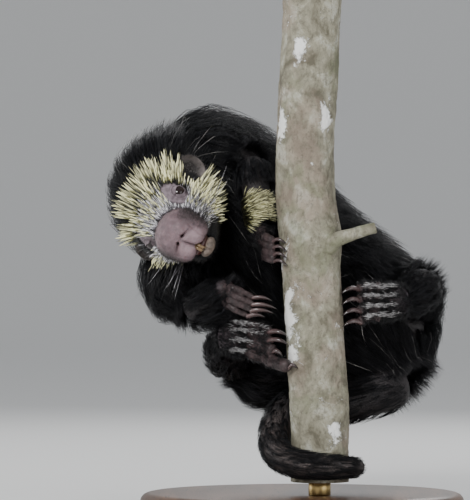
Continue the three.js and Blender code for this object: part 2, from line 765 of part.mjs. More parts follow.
// The quills of the head, longest on the crown and cheeks and shortest round the muzzle. They leave eyes,
// ears and mouth free, and lean backwards.
function growQuills(seed) {
  const random = makeRandom(seed);
  const shaken = (share) => share * (random() - 0.5);
  const turn = Math.PI * (3 - Math.sqrt(5));
  for (let i = 0; i < QUILL_COUNT; i++) {
    const t = THREE.MathUtils.lerp(...QUILL_SPAN, ((i + 0.5) / QUILL_COUNT) ** 0.92);
    const angle = i * turn + shaken(0.3);
    const below = Math.max(0, -Math.sin(angle));
    const muzzle = THREE.MathUtils.smoothstep(t, 0.45, 0.8);
    const long = THREE.MathUtils.lerp(QUILL_LONG, QUILL_SHORT, muzzle);
    const length = long * (1 - 0.35 * below) * (1 + shaken(0.3));
    const lean = QUILL_LEAN + 0.5 * muzzle + shaken(0.3);
    const tilt = shaken(0.3);
    const root = skull.point(t, angle);
    const nearEye = [1, -1].some((side) => root.distanceTo(inHead(...eyeCentre(side))) < EYE_RADIUS + 5);
    if (nearEye || (below > 0.6 && t > 0.45)) continue;
    growQuill("head", skull, t, angle, -lean, tilt, length);
  }
}

// A quill on a tube, leaning along it by lean and across it by tilt, or shorter and steeper where it would
// cross another part.
function growQuill(name, tube, t, angle, lean, tilt, length) {
  const { out, along, across } = tube.directions(t, angle);
  const quill = { root: tube.point(t, angle), radius: QUILL_RADIUS, sides: 3, sink: QUILL_SINK, shares: [0] };
  const tries = [[1, 1], [0.6, 1], [0.7, 0.3]].map(([share, flat]) => (gap) => {
    const direction = out
      .clone()
      .addScaledVector(along, lean * flat)
      .addScaledVector(across, tilt)
      .normalize();
    return spike({ ...quill, direction, length: length * share }, gap);
  });
  grow(name, tries);
}

// The patch of short quills on the left forearm, on the side towards the viewer, leaning to the wrist.
function growForearmQuills(seed) {
  const random = makeRandom(seed);
  for (let i = 0; i < FOREARM_QUILLS; i++) {
    const t = THREE.MathUtils.lerp(...FOREARM_SPAN, random());
    const angle = 1.1 * (random() - 0.5);
    const length = FOREARM_QUILL_LENGTH * (1 + 0.4 * random());
    growQuill("forearm_left", limbs.forearm_left, t, angle, 0.5, 0.9 * random(), length);
  }
}

// The nodes, in the order in which each is cut clear of those before it
place("perch_trunk", "bark", trunkSolid(), trunkSolid(GAP));
place("perch_twig", "bark", twig.solid(), twig.solid(GAP));
const upperTeeth = (grow) => incisors(40, -25, 42.3, -32.6, 2.6, grow);
const lowerTeeth = (grow) => incisors(35, -35, 38.9, -31.2, 2.4, grow);
place("teeth_upper", "tooth", upperTeeth(0), upperTeeth(GAP));
place("teeth_lower", "tooth", lowerTeeth(0), lowerTeeth(GAP));
for (const [side, word] of [[1, "left"], [-1, "right"]]) {
  place(`eye_${word}`, "eye", eyeSolid(side), eyeSolid(side, GAP));
}
function furry(name, tube) {
  const { core } = coatOf(name);
  place(name, "fur", tube.solid(core), tube.solid(core + GAP));
}
furry("torso", torso);
const bareHead = union([skull.solid(), jaw.solid()]).subtract(union([socket(1), socket(-1)]));
place(
  "head",
  "quilled_face",
  union([bareHead, lidRing(1), lidRing(-1)]),
  union([skull.solid(GAP), jaw.solid(GAP)]),
);
place("nose", "nose_skin", noseSolid().subtract(nostrils()), noseSolid(GAP));
for (const [side, word] of [[1, "left"], [-1, "right"]]) {
  place(`ear_${word}`, "ear_skin", earCup(side, 0).subtract(earHollow(side)), earCup(side, GAP));
}
furry("neck", neck);
const limbOrder = ["upper_arm", "thigh", "forearm", "shank"].flatMap((name) => [
  `${name}_right`,
  `${name}_left`,
]);
for (const name of limbOrder) furry(name, limbs[name]);
for (const [name, paw] of Object.entries(paws)) {
  place(name, "paw_skin", pawSolid(paw), palmTube(paw).solid(GAP));
}
furry("tail_base", tails.tail_base);
for (const name of ["tail_middle", "tail_grip", "tail_end"]) {
  place(name, "fur", tails[name].solid(), tails[name].solid(GAP));
}

growQuills(7);
growForearmQuills(17);
growCoat("neck", neck, 11);
growCoat("torso", torso, 23);
limbOrder.forEach((name, i) => growCoat(name, limbs[name], 31 + i));
growCoat("tail_base", tails.tail_base, 47);

for (const [name, { look, core, pieces }] of nodes) {
  addMesh(name, geometryOf(largest(union([core, ...pieces]))), look);
}
addMesh("stand_base", baseSolid(), "stand_wood");
addMesh("stand_rod", rodSolid(), "stand_metal");

export default model;
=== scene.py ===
"""A life-size hairy dwarf porcupine on its trunk perch: skin, coat, quills, paws, bark, stand and studio.

Sizes are millimetres in the part's frame, as in its solids, and become metres where a mesh is made.
"""
import json
import bpy
import numpy as np
from mathutils.bvhtree import BVHTree
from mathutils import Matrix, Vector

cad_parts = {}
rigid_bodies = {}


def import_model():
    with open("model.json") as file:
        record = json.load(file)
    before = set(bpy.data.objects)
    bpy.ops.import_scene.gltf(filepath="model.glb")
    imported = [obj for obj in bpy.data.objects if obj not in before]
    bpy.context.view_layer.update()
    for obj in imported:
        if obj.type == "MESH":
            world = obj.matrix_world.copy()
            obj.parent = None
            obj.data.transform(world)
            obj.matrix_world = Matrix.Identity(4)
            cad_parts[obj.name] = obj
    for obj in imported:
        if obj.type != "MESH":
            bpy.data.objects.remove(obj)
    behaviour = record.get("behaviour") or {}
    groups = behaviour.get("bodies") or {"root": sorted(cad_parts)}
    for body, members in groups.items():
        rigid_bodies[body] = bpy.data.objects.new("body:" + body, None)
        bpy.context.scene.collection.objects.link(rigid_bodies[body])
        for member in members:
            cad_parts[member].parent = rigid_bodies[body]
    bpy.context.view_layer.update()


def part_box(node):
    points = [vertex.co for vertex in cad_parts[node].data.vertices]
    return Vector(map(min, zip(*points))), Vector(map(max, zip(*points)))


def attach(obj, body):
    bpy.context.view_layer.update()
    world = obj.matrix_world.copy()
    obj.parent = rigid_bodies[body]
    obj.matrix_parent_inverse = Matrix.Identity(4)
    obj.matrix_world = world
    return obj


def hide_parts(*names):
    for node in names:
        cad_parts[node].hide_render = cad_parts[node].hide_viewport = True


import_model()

bl_info = {
    "name": "Porcupine on a trunk perch",
    "version": (1, 0, 0),
    "blender": (4, 5, 0),
    "location": "View3D > Sidebar > Porcupine",
    "description": "Builds the coat, skin, quills, paws, perch and stand of a life-size porcupine",
    "category": "Add Mesh",
}

MM = 0.001
TURN = 2 * np.pi
POLES = np.array([[1.0, 0, 0], [-1.0, 0, 0]])
FRONT = np.array([0.0, -1.0, 0.0])


# Curves and tubes

def unit(vectors):
    """Vectors scaled to length one along the last axis."""
    vectors = np.asarray(vectors, float)
    return vectors / np.maximum(np.linalg.norm(vectors, axis=-1, keepdims=True), 1e-9)


def slope(x, wide=1.0):
    """0 where x is below 0, rising evenly to 1 at wide."""
    return np.clip(x / wide, 0, 1)


def hill(x, wide, y=0.0, high=1.0):
    """A smooth bump, exp(-(x / wide)^2 - (y / high)^2)."""
    return np.exp(-((x / wide) ** 2) - (y / high) ** 2)


def wrapped(angle):
    """Angles brought within half a turn of zero."""
    return np.angle(np.exp(1j * angle))


def circle(count):
    """Angles spread evenly round a turn."""
    return TURN * np.arange(count) / count


def through(points, t):
    """A curve through points: cubic Hermite pieces with knots spaced by the square root of each chord.

    t runs from 0 to 1 and is shared evenly between the pieces.
    """
    p = np.asarray(points, float)
    padded = np.vstack([2 * p[0] - p[1], p, 2 * p[-1] - p[-2]])
    along = np.clip(np.asarray(t, float), 0, 1) * (len(p) - 1)
    i = np.minimum(along.astype(int), len(p) - 2)
    w = (along - i)[..., None]
    p0, p1, p2, p3 = (padded[i + k] for k in range(4))
    d0, d1, d2 = (np.sum((b - a) ** 2, -1, keepdims=True) ** 0.25 for a, b in ((p0, p1), (p1, p2), (p2, p3)))
    d1 = np.where(d1 < 1e-4, 1, d1)
    d0, d2 = (np.where(d < 1e-4, d1, d) for d in (d0, d2))
    m1 = ((p1 - p0) / d0 - (p2 - p0) / (d0 + d1) + (p2 - p1) / d1) * d1
    m2 = ((p2 - p1) / d1 - (p3 - p1) / (d1 + d2) + (p3 - p2) / d2) * d1
    return (
        (2 * w**3 - 3 * w**2 + 1) * p1 + (w**3 - 2 * w**2 + w) * m1
        + (3 * w**2 - 2 * w**3) * p2 + (w**3 - w**2) * m2
    )


class Tube:
    """A rounded tube along a path, with half sizes across and height at each point of the path.

    A point is centre(t) + across(t) cos(angle) side + height(t) sin(angle) up. Both half sizes close like a
    quarter circle within caps at the two ends.
    """

    def __init__(self, path, across, height=None, up=(0, 0, 1), caps=(0.16, 0.16)):
        height = across if height is None else height
        self.path = np.asarray(path, float)
        self.sizes = np.stack([across, height, np.zeros(len(across))], axis=1).astype(float)
        self.up = unit(up)
        self.caps = caps
        steps = np.diff(through(self.path, np.linspace(0, 1, 200)), axis=0)
        self.length = np.linalg.norm(steps, axis=1).sum()

    def section(self, t):
        """The centre, the three directions and the unrounded half sizes at t."""
        t = np.clip(t, 0, 1)
        step = 1e-4
        before, after = (through(self.path, np.clip(t + shift, 0, 1)) for shift in (-step, step))
        along = unit(after - before)
        side = unit(np.cross(along, self.up))
        return through(self.path, t), along, side, np.cross(side, along), through(self.sizes, t)

    def rounding(self, t):
        """How far the ends have closed at t: 1 is open and 0 is shut."""
        start = np.minimum(t / self.caps[0], 1)
        end = np.minimum((1 - t) / self.caps[1], 1)
        return np.sqrt(np.maximum(1 - (1 - start) ** 2, 0)) * np.sqrt(np.maximum(1 - (1 - end) ** 2, 0))

    def point(self, t, angle, grow=0.0, openness=0.0):
        """Points at t and angle, grow outside the tube. Past its ends the tube runs straight on."""
        t, angle, grow, openness = np.broadcast_arrays(t, angle, grow, openness)
        inside = np.clip(t, 0.004, 0.996)
        centre, along, side, up, sizes = self.section(inside)
        shut = self.rounding(inside)
        shut = shut + (1 - shut) * openness
        wide = sizes[..., 0] * shut + grow
        high = sizes[..., 1] * shut + grow
        return (
            centre + along * ((t - inside) * self.length)[..., None]
            + side * (wide * np.cos(angle))[..., None] + up * (high * np.sin(angle))[..., None]
        )

    def directions(self, t, angle):
        """The outward direction and the direction along the tube, on its surface."""
        step = 0.004
        along = unit(self.point(t + step, angle) - self.point(t - step, angle))
        around = unit(self.point(t, angle + step) - self.point(t, angle - step))
        out = unit(np.cross(around, along))
        centre = through(self.path, np.clip(t, 0, 1))
        inward = np.sum(out * (self.point(t, angle) - centre), -1) < 0
        return np.where(inward[..., None], -out, out), along

    def holds(self, points, shrink=0.0):
        """Which points lie inside the tube, shrunk by shrink, tested at the nearest of its sections."""
        stations = np.linspace(0, 1, 48)
        centre, along, side, up, sizes = self.section(stations)
        nearest = near(points, centre)[0]
        away = points - centre[nearest]
        x, y = (
            np.sum(away * way[nearest], 1)
            / np.maximum(sizes[nearest, k] * self.rounding(stations)[nearest] - shrink, 0.1)
            for k, way in enumerate((side, up))
        )
        ahead = np.abs(np.sum(away * along[nearest], 1))
        return (x**2 + y**2 < 1) & (ahead < 0.05 * self.length + 1)

    def surface(self, rows, sides, grow=0.0):
        """A closed grid over the tube: rows along it, sides round it, and a pole at each end."""
        first, last = self.caps
        t = np.concatenate([
            first * (1 - np.cos(np.linspace(0.08, 1, 8) * np.pi / 2)),
            np.linspace(first, 1 - last, rows)[1:-1],
            1 - last * (1 - np.cos(np.linspace(1, 0.08, 8) * np.pi / 2)),
        ])
        centre, along = self.section(np.array([0.0, 1.0]))[:2]
        return closed_rings(self.point(t[:, None], circle(sides), grow), *centre + along * [[-grow], [grow]])


def near(points, centres):
    """The nearest of the centres to each point, and how far it is."""
    distance = np.linalg.norm(points[:, None, :] - centres[None], axis=2)
    return distance.argmin(axis=1), distance.min(axis=1)


def closed_rings(rings, first, last):
    """Points and faces of rings (rows, sides, 3), closed by a pole point at either end."""
    rows, sides = rings.shape[:2]
    r, s = np.meshgrid(np.arange(rows - 1) * sides, np.arange(sides), indexing="ij")
    a = r + s
    b = r + (s + 1) % sides
    quads = np.stack([a, b, b + sides, a + sides], axis=-1).reshape(-1, 4)
    k = np.arange(sides)
    end = (rows - 1) * sides
    start_fan = np.stack([(k + 1) % sides, k, np.full(sides, rows * sides)], axis=1)
    end_fan = np.stack([end + k, end + (k + 1) % sides, np.full(sides, rows * sides + 1)], axis=1)
    return np.vstack([rings.reshape(-1, 3), first, last]), [quads, start_fan, end_fan]


def sphere(rows, sides):
    """Directions on a grid over a sphere whose poles, left out, lie along x."""
    lat = np.pi * np.arange(1, rows)[:, None] / rows
    lon = circle(sides)
    return np.stack([np.cos(lat) + 0 * lon, np.sin(lat) * np.cos(lon), np.sin(lat) * np.sin(lon)], axis=-1)


def ellipsoid(centre, sizes, rows=20, sides=32):
    """A closed ellipsoid: centre + sizes times the unit sphere, its poles along x."""
    return closed_rings(sphere(rows, sides) * sizes + centre, *POLES * sizes + centre)


def placed(matrix, points):
    """Points carried by a 4 by 4 matrix."""
    return np.asarray(points, float) @ matrix[:3, :3].T + matrix[:3, 3]


def noise(points, scale, seed):
    """Smooth value noise from -1 to 1: sums of waves in random directions, each octave twice as fine."""
    rng = np.random.default_rng(seed)
    total = np.zeros(points.shape[:-1])
    weight = 0.0
    for octave in range(3):
        for _ in range(6):
            direction = unit(rng.normal(size=3)) * 2**octave / scale
            total += np.sin(points @ direction * TURN + rng.uniform(0, TURN)) * 0.5**octave
        weight += 2.4 * 0.5**octave
    return total / weight


# Meshes

def mesh_object(name, points, faces, uv=None, **masks):
    """An object of millimetre points and a list of face arrays, with point attributes and a bake UV map."""
    mesh = bpy.data.meshes.new(name)
    loops = np.concatenate([block.ravel() for block in faces]).astype(np.int32)
    corners = np.concatenate([np.full(len(block), block.shape[1]) for block in faces])
    mesh.vertices.add(len(points))
    mesh.vertices.foreach_set("co", (points * MM).astype(np.float32).ravel())
    mesh.loops.add(len(loops))
    mesh.loops.foreach_set("vertex_index", loops)
    mesh.polygons.add(len(corners))
    mesh.polygons.foreach_set("loop_start", (np.cumsum(corners) - corners).astype(np.int32))
    mesh.update(calc_edges=True)
    mesh.polygons.foreach_set("use_smooth", np.ones(len(corners), bool))
    for key, values in masks.items():
        mesh.attributes.new(key, "FLOAT", "POINT").data.foreach_set("value", values.astype(np.float32))
    if uv is not None:
        mesh.uv_layers.new(name="OFBake").data.foreach_set("uv", uv[loops].astype(np.float32).ravel())
    mesh.validate()
    obj = bpy.data.objects.new(name, mesh)
    bpy.context.scene.collection.objects.link(obj)
    return obj


def piece(name, shape, material, slot, *nodes, **more):
    """A visible piece of (points, faces) on the frame, with its material, in place of CAD nodes. Its slot is
    not used.
    """
    obj = mesh_object(name, *shape, **more)
    obj.data.materials.append(material)
    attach(obj, "root")
    if nodes:
        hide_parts(*nodes)
    return obj


def merged(parts):
    """Several (points, faces) as one."""
    starts = np.cumsum([0] + [len(points) for points, _ in parts])
    faces = [block + start for (_, blocks), start in zip(parts, starts) for block in blocks]
    return np.vstack([points for points, _ in parts]), faces


def read(items, key, width=1, kind=np.float32):
    """One property of all the items of a mesh, as an array."""
    out = np.empty(len(items) * width, kind)
    items.foreach_get(key, out)
    return out.reshape(-1, width) if width > 1 else out


def fused(parts, voxel, smoothing):
    """One closed surface round overlapping closed parts: a voxel remesh, then smoothing."""
    rough = mesh_object("rough", *merged(parts))
    remesh = rough.modifiers.new("fuse", "REMESH")
    remesh.mode = "VOXEL"
    remesh.voxel_size = voxel * MM
    smooth = rough.modifiers.new("soften", "SMOOTH")
    smooth.factor = 0.5
    smooth.iterations = smoothing
    mesh = bpy.data.meshes.new_from_object(rough.evaluated_get(bpy.context.evaluated_depsgraph_get()))
    points = read(mesh.vertices, "co", 3).astype(float) / MM
    corners, sizes, starts = (
        read(items, key, kind=np.int32)
        for items, key in (
            (mesh.loops, "vertex_index"), (mesh.polygons, "loop_total"), (mesh.polygons, "loop_start"))
    )
    faces = [corners[starts[sizes == size][:, None] + np.arange(size)] for size in np.unique(sizes)]
    bpy.data.objects.remove(rough)
    bpy.data.meshes.remove(mesh)
    return points, faces


# Materials

def scaled(colour, *factors):
    """A colour times one factor, or times one for each of its channels."""
    return tuple(c * k for c, k in zip(colour, factors * (3 // len(factors))))


class Nodes:
    """A short way to add nodes and link them. A value may be a socket, a number or a plain colour."""

    def __init__(self, tree):
        self.tree = tree

    def add(self, kind, inputs=(), **settings):
        """A node with its settings and what feeds its inputs."""
        made = self.tree.nodes.new(kind)
        for key, value in settings.items():
            setattr(made, key, value)
        for key, value in dict(inputs).items():
            self.feed(value, made.inputs[key])
        return made

    def link(self, source, target):
        self.tree.links.new(source, target)

    def feed(self, value, socket):
        """Links a socket, or sets a plain number or colour."""
        if isinstance(value, bpy.types.NodeSocket):
            self.link(value, socket)
        elif isinstance(value, tuple):
            socket.default_value = (*value, 1)
        else:
            socket.default_value = value

    def attribute(self, name):
        """One of the mesh's point attributes."""
        return self.add("ShaderNodeAttribute", attribute_name=name).outputs["Fac"]

    def position(self, scale=(1, 1, 1)):
        """Object coordinates, stretched by scale."""
        mapping = self.add("ShaderNodeMapping", {"Vector": self.add("ShaderNodeTexCoord").outputs["Object"]})
        mapping.inputs["Scale"].default_value = scale
        return mapping.outputs["Vector"]

    def noise(self, scale, detail=4.0, roughness=0.55, stretch=(1, 1, 1), distortion=0.0):
        """Noise on object coordinates, stretched by stretch."""
        return self.add("ShaderNodeTexNoise", {
            "Scale": scale, "Detail": detail, "Roughness": roughness, "Distortion": distortion,
            "Vector": self.position(stretch),
        }).outputs["Fac"]

    def ramp(self, factor, stops):
        """A colour ramp of (position, colour) stops."""
        made = self.add("ShaderNodeValToRGB", {"Fac": factor})
        elements = made.color_ramp.elements
        while len(elements) < len(stops):
            elements.new(0.5)
        for element, (at, colour) in zip(elements, stops):
            element.position = at
            element.color = (*colour, 1)
        return made.outputs["Color"]

    def mask(self, factor, low, high):
        """0 below low and 1 above high, smooth between."""
        inputs = {"From Min": low, "From Max": high, "Value": factor}
        return self.add("ShaderNodeMapRange", inputs, interpolation_type="SMOOTHSTEP").outputs["Result"]

    def mix(self, factor, first, second, share=None, blend="MIX"):
        """A mix of two colours by a factor, or by share of it."""
        if share is not None:
            factor = self.maths("MULTIPLY", factor, share)
        made = self.add("ShaderNodeMix", data_type="RGBA", blend_type=blend)
        for value, key in ((factor, "Factor"), (first, "A"), (second, "B")):
            self.feed(value, made.inputs[key])
        return made.outputs["Result"]

    def maths(self, operation, first, second):
        return self.add("ShaderNodeMath", {0: first, 1: second}, operation=operation).outputs[0]

    def bump(self, height, strength, distance):
        inputs = {"Strength": strength, "Distance": distance, "Height": height}
        return self.add("ShaderNodeBump", inputs).outputs["Normal"]

    def group(self, name, **values):
        """A node group by its name, with plain values or colours for its sockets."""
        inputs = {key.replace("_", " "): value for key, value in values.items()}
        return self.add("ShaderNodeGroup", inputs, node_tree=bpy.data.node_groups[name]).outputs


def new_material(name, base=(0.5, 0.5, 0.5), roughness=0.5, **sockets):
    """A Principled material. Returns it, its node helper and its shader's inputs."""
    material = bpy.data.materials.new(name)
    material.use_nodes = True
    nodes = Nodes(material.node_tree)
    inputs = material.node_tree.nodes["Principled BSDF"].inputs
    for key, value in {"Base Color": base, "Roughness": roughness, **sockets}.items():
        nodes.feed(value, inputs[key.replace("_", " ")])
    return material, nodes, inputs


def new_group(name, inputs, outputs):
    """A shader node group with named sockets. Returns its helper, its inputs' and its outputs' sockets."""
    group = bpy.data.node_groups.new(name, "ShaderNodeTree")
    for label, value in inputs.items():
        kind = "NodeSocketColor" if isinstance(value, tuple) else "NodeSocketFloat"
        socket = group.interface.new_socket(label, in_out="INPUT", socket_type=kind)
        socket.default_value = (*value, 1) if isinstance(value, tuple) else value
    for label, kind in outputs.items():
        group.interface.new_socket(label, in_out="OUTPUT", socket_type=kind)
    nodes = Nodes(group)
    return nodes, nodes.add("NodeGroupInput").outputs, nodes.add("NodeGroupOutput").inputs


def creased_skin_group():
    """Bare skin: mottled between two colours, with fine creases and pores as a height, and painted shade that
    darkens the creases.
    """
    nodes, given, result = new_group(
        "Creased skin", {"Light": (0.5, 0.4, 0.4), "Dark": (0.2, 0.15, 0.15), "Grain": 600.0, "Depth": 0.5},
        {"Color": "NodeSocketColor", "Normal": "NodeSocketVector"})
    position = nodes.position()
    scale = nodes.maths("MULTIPLY", given["Grain"], 0.25)
    patches = nodes.add("ShaderNodeTexNoise", {"Detail": 5, "Vector": position, "Scale": scale})
    spread = nodes.mask(patches.outputs["Fac"], 0.32, 0.68)
    inputs = {"Vector": position, "Scale": given["Grain"]}
    cells = nodes.add("ShaderNodeTexVoronoi", inputs, feature="DISTANCE_TO_EDGE")
    crease = nodes.mask(cells.outputs["Distance"], 0.0, 0.16)
    mottled = nodes.mix(spread, given["Dark"], given["Light"])
    # Painted shade: the creases are drawn a third of the way towards the dark colour.
    nodes.link(nodes.mix(0.35, mottled, nodes.mix(crease, given["Dark"], mottled)), result["Color"])
    nodes.link(nodes.bump(crease, given["Depth"], 0.0004), result["Normal"])


def strand_group():
    """The colour along a hair or quill: root to tip by its tone, darker or paler by its own shade."""
    nodes, given, result = new_group(
        "Strand colour",
        {"Root": (0.01, 0.01, 0.01), "Middle": (0.02, 0.02, 0.02), "Tip": (0.03, 0.03, 0.03),
         "Middle from": 0.2, "Tip from": 0.75, "Variation": 0.5},
        {"Color": "NodeSocketColor"})
    tone = nodes.attribute("tone")
    whole = given["Root"]
    for name in ("Middle", "Tip"):
        start = given[name + " from"]
        whole = nodes.mix(nodes.mask(tone, start, nodes.maths("ADD", start, 0.12)), whole, given[name])
    centred = nodes.maths("SUBTRACT", nodes.attribute("shade"), 0.5)
    lightness = nodes.maths("ADD", nodes.maths("MULTIPLY", centred, given["Variation"]), 1.0)
    grey = nodes.add("ShaderNodeCombineColor", dict.fromkeys(("Red", "Green", "Blue"), lightness))
    nodes.link(nodes.mix(1.0, whole, grey.outputs["Color"], blend="MULTIPLY"), result["Color"])


def strand_material(
    name, root, middle, tip, roughness, middle_from=0.15, tip_from=0.75, variation=0.5, **more
):
    """A material whose colour runs along each hair, from its root by its middle to its tip."""
    material, nodes, inputs = new_material(name, roughness=roughness, **more)
    strand = nodes.group("Strand colour", Root=root, Middle=middle, Tip=tip, Middle_from=middle_from,
                         Tip_from=tip_from, Variation=variation)
    nodes.link(strand["Color"], inputs["Base Color"])
    return material


def skin_material(name, light, dark, grain, depth, roughness):
    """A material of creased skin. Returns it, its helper, its shader's inputs and its colour."""
    material, nodes, inputs = new_material(name, roughness=roughness)
    skin = nodes.group("Creased skin", Light=light, Dark=dark, Grain=grain, Depth=depth)
    nodes.link(skin["Color"], inputs["Base Color"])
    nodes.link(skin["Normal"], inputs["Normal"])
    return material, nodes, inputs, skin["Color"]


# The animal's own sizes, as in its solids

TRUNK_RADIUS = 21.5
TRUNK_FOOT = 24.0
TRUNK_TOP = 380.0
TRUNK_STEPS = through([
    [4, 0, 24], [4, 0, 60], [1, 0, 120], [-1, 0, 165], [-3, 0, 198],
    [-6.5, 0, 250], [-5, 0, 305], [-2, 0, 350], [-1, 0, 380],
], np.linspace(0, 1, 400))


def trunk_x(z):
    """The x of the trunk's middle at heights z. Its y is 0."""
    return np.interp(z, TRUNK_STEPS[:, 2], TRUNK_STEPS[:, 0])


def on_trunk(degrees, z, out):
    """A point off the bark: degrees round from +X towards +Y, a height, and the distance out."""
    angle = np.radians(degrees)
    reach = TRUNK_RADIUS + out
    return [trunk_x(z) + reach * np.cos(angle), reach * np.sin(angle), z]


def turned(vector, axis, angle):
    """A vector turned about a unit axis."""
    return (
        vector * np.cos(angle) + np.cross(axis, vector) * np.sin(angle)
        + axis * np.dot(axis, vector) * (1 - np.cos(angle))
    )


HEAD_ORIGIN = np.array([-106, 2, 214.5])
HEAD_ROLL, HEAD_YAW, HEAD_PITCH = np.radians([62, -12, -5])


def head_matrix():
    """The head's frame: x forward along the snout, y to the animal's left, z to its crown."""
    up = np.array([-np.sin(HEAD_ROLL), 0, np.cos(HEAD_ROLL)])
    forward, left = (turned(way, up, HEAD_YAW) for way in (FRONT, np.cross(up, FRONT)))
    forward, up = (turned(way, left, -HEAD_PITCH) for way in (forward, up))
    matrix = np.eye(4)
    matrix[:3] = np.stack([forward, left, up, HEAD_ORIGIN], axis=1)
    return matrix


HEAD = head_matrix()
HEAD_BACK = np.linalg.inv(HEAD)
FORWARD, LEFT, CROWN = HEAD[:3, :3].T


def in_head(points):
    """Points of the head's frame, in the part's."""
    return placed(HEAD, points)


SKULL = Tube(
    in_head([
        [-50, 0, -5], [-34, 0, -5], [-16, 0, -6], [0, 0, -7], [14, 0, -10], [28, 0, -12], [38, 0, -13],
    ]),
    [29, 31.5, 32, 28, 23, 19, 17], [26, 29, 30, 27.5, 22, 17, 14], CROWN, (0.18, 0.08),
)
JAW = Tube(
    in_head([[-14, 0, -23], [8, 0, -27], [24, 0, -31], [34, 0, -34]]),
    [19, 15, 9.5, 6.5], [14, 9.5, 6, 4.2], CROWN,
)
TORSO = Tube(
    [[-121, 64, 246], [-86, 76, 237], [-49, 87, 209], [-14, 92, 173], [18, 88, 145],
     [44, 76, 122], [66, 60, 98]],
    [37, 46, 48, 49, 50, 46, 30], [34, 43, 46, 47, 47, 43, 28], (0.1, 1, 0.12), (0.14, 0.14),
)
NECK = Tube(
    [in_head([-26, 0, -4]), [-103, 44, 221], [-99, 60, 228], [-94, 76, 233]],
    [31, 34, 37, 37], None, (-0.885, 0, 0.466), (0.1, 0.1),
)
TAIL = Tube(
    [[64, 62, 98], [46, 52, 89], [22, 46, 81], [-2, 42, 76]] + [on_trunk(*place) for place in (
        (122, 73, 15), (144, 66, 12.6), (165, 55, 11.4), (190, 46, 10.4), (222, 40, 9.8), (255, 37, 9.2),
        (292, 36, 8.4), (332, 35, 7.2), (372, 35, 6))],
    [22, 18.5, 16, 14.2, 13.6, 12.2, 11, 10, 9.4, 8.8, 7.8, 6.5, 4.6], None, (0, 0, 1), (0.04, 0.03),
)
ACROSS = (1, 0, 0)
BACKWARDS = (0, 1, 0.4)
UPWARDS = (0, 0, 1)
LIMBS = {name: Tube(*sizes, (0.22, 0.14)) for name, *sizes in (
    ("upper_arm_right", [[-97, 62, 192], [-96, 44, 169], [-88, 27, 149]],
     [25, 21, 15], [23, 19, 14], BACKWARDS),
    ("forearm_right", [[-88, 26, 148], [-77, 13, 153], [-63, 3, 162]], [14, 12, 8.5], [13, 11, 8], UPWARDS),
    ("upper_arm_left", [[-66, 74, 238], [-56, 54, 250], [-46, 34, 256]], [22, 18, 14], [20, 17, 13], ACROSS),
    ("forearm_left", [[-45, 35, 257], [-42, 22, 236], [-36, 11, 210]], [13, 11.5, 8], [12, 10.5, 8], ACROSS),
    ("thigh_right", [[18, 78, 106], [-18, 74, 104], [-54, 62, 106]], [33, 27, 19], [30, 25, 18], UPWARDS),
    ("shank_right", [[-55, 64, 106], [-62, 40, 116], [-64, 16, 127]], [18, 14, 9.5], [17, 13, 9], UPWARDS),
    ("thigh_left", [[42, 84, 132], [62, 68, 150], [80, 48, 166]], [32, 26, 18], [30, 24, 17], UPWARDS),
    ("shank_left", [[80, 50, 166], [76, 30, 160], [66, 11, 154]], [17, 13, 9.5], [16, 12, 9], UPWARDS),
)}
FLESH = {"torso": TORSO, "neck": NECK, "skull": SKULL, "jaw": JAW, "tail": TAIL, **LIMBS}

# The eyes, and the bare oval round each: its middle and half sizes to the midline and to the crown
EYE_RADIUS = 5.4
EYE_APART = 40.0
EYE_LOOK = unit([0.64, 0.77, 0.05])
EYE_PLANE = 2.0
PATCH_MIDDLE = np.array([3.6, 2.0])
PATCH_SIZES = np.array([8.0, 10.4])
NOSE_BULBS = [([32, 0, -10.6], [18.2, 18.7, 16.2])]
NOSE_BULBS += [([36.5, 6.2 * side, -19.5], [10.6, 8.2, 8.2]) for side in (1, -1)]
NOSE_BULBS += [([30.5, 8.6 * side, -18.5], [11.0, 8.8, 10.2]) for side in (1, -1)]
LIP_MIDDLE = np.array([33.2, 1.4, -33.6])
EAR_MIDDLE = np.array([-29.0, 33.0, -1.0])
SIDES = ((1, "left"), (-1, "right"))


def eye_centre(side):
    """The middle of the left (1) or right (-1) eye."""
    return in_head([4, side * EYE_APART / 2, 1])


def eye_axes(side):
    """An eye's three directions: its look, across its face to the midline, and to the crown."""
    look = HEAD[:3, :3] @ (EYE_LOOK * [1, side, 1])
    crown = unit(CROWN - look * np.dot(CROWN, look))
    inward = np.cross(crown, look)
    return look, inward * np.sign(-side * np.dot(inward, LEFT)), crown


def eye_place(points, side):
    """Points as seen from an eye: to the midline, to the crown, and out along its look."""
    look, inward, crown = eye_axes(side)
    away = points - eye_centre(side)
    return away @ inward, away @ crown, away @ look


def on_eye_patch(points, share=1.0, above=-9.0):
    """Which points are over the bare oval round either eye, the oval scaled by share."""
    found = np.zeros(points.shape[:-1], bool)
    for side in (1, -1):
        u, v, h = eye_place(points, side)
        away = np.stack([u, v], axis=-1) - PATCH_MIDDLE
        oval = np.sum((away / PATCH_SIZES) ** 2, axis=-1)
        found |= (oval < share**2) & (h > above) & (h < 40)
    return found


def seen_over(points, centre, across, up, sizes):
    """Which points, seen from the front, lie before an oval with this middle, directions and half sizes."""
    away = points - centre
    facing = np.cross(across, up)
    back = away - (away @ facing / np.dot(FRONT, facing))[..., None] * FRONT
    inside = ((back @ across) / sizes[0]) ** 2 + ((back @ up) / sizes[1]) ** 2 < 1
    return inside & (away @ FRONT > -1.0)


def toes(x, y, holds, heights):
    """Digits that leave a palm at x and y and close on the bark at each hold, degrees round and distance out.

    Each row of heights gives one digit's height at the palm and at each hold.
    """
    return [
        [[x, y, first]] + [on_trunk(degrees, z, out) for (degrees, out), z in zip(holds, later)]
        for first, *later in heights
    ]


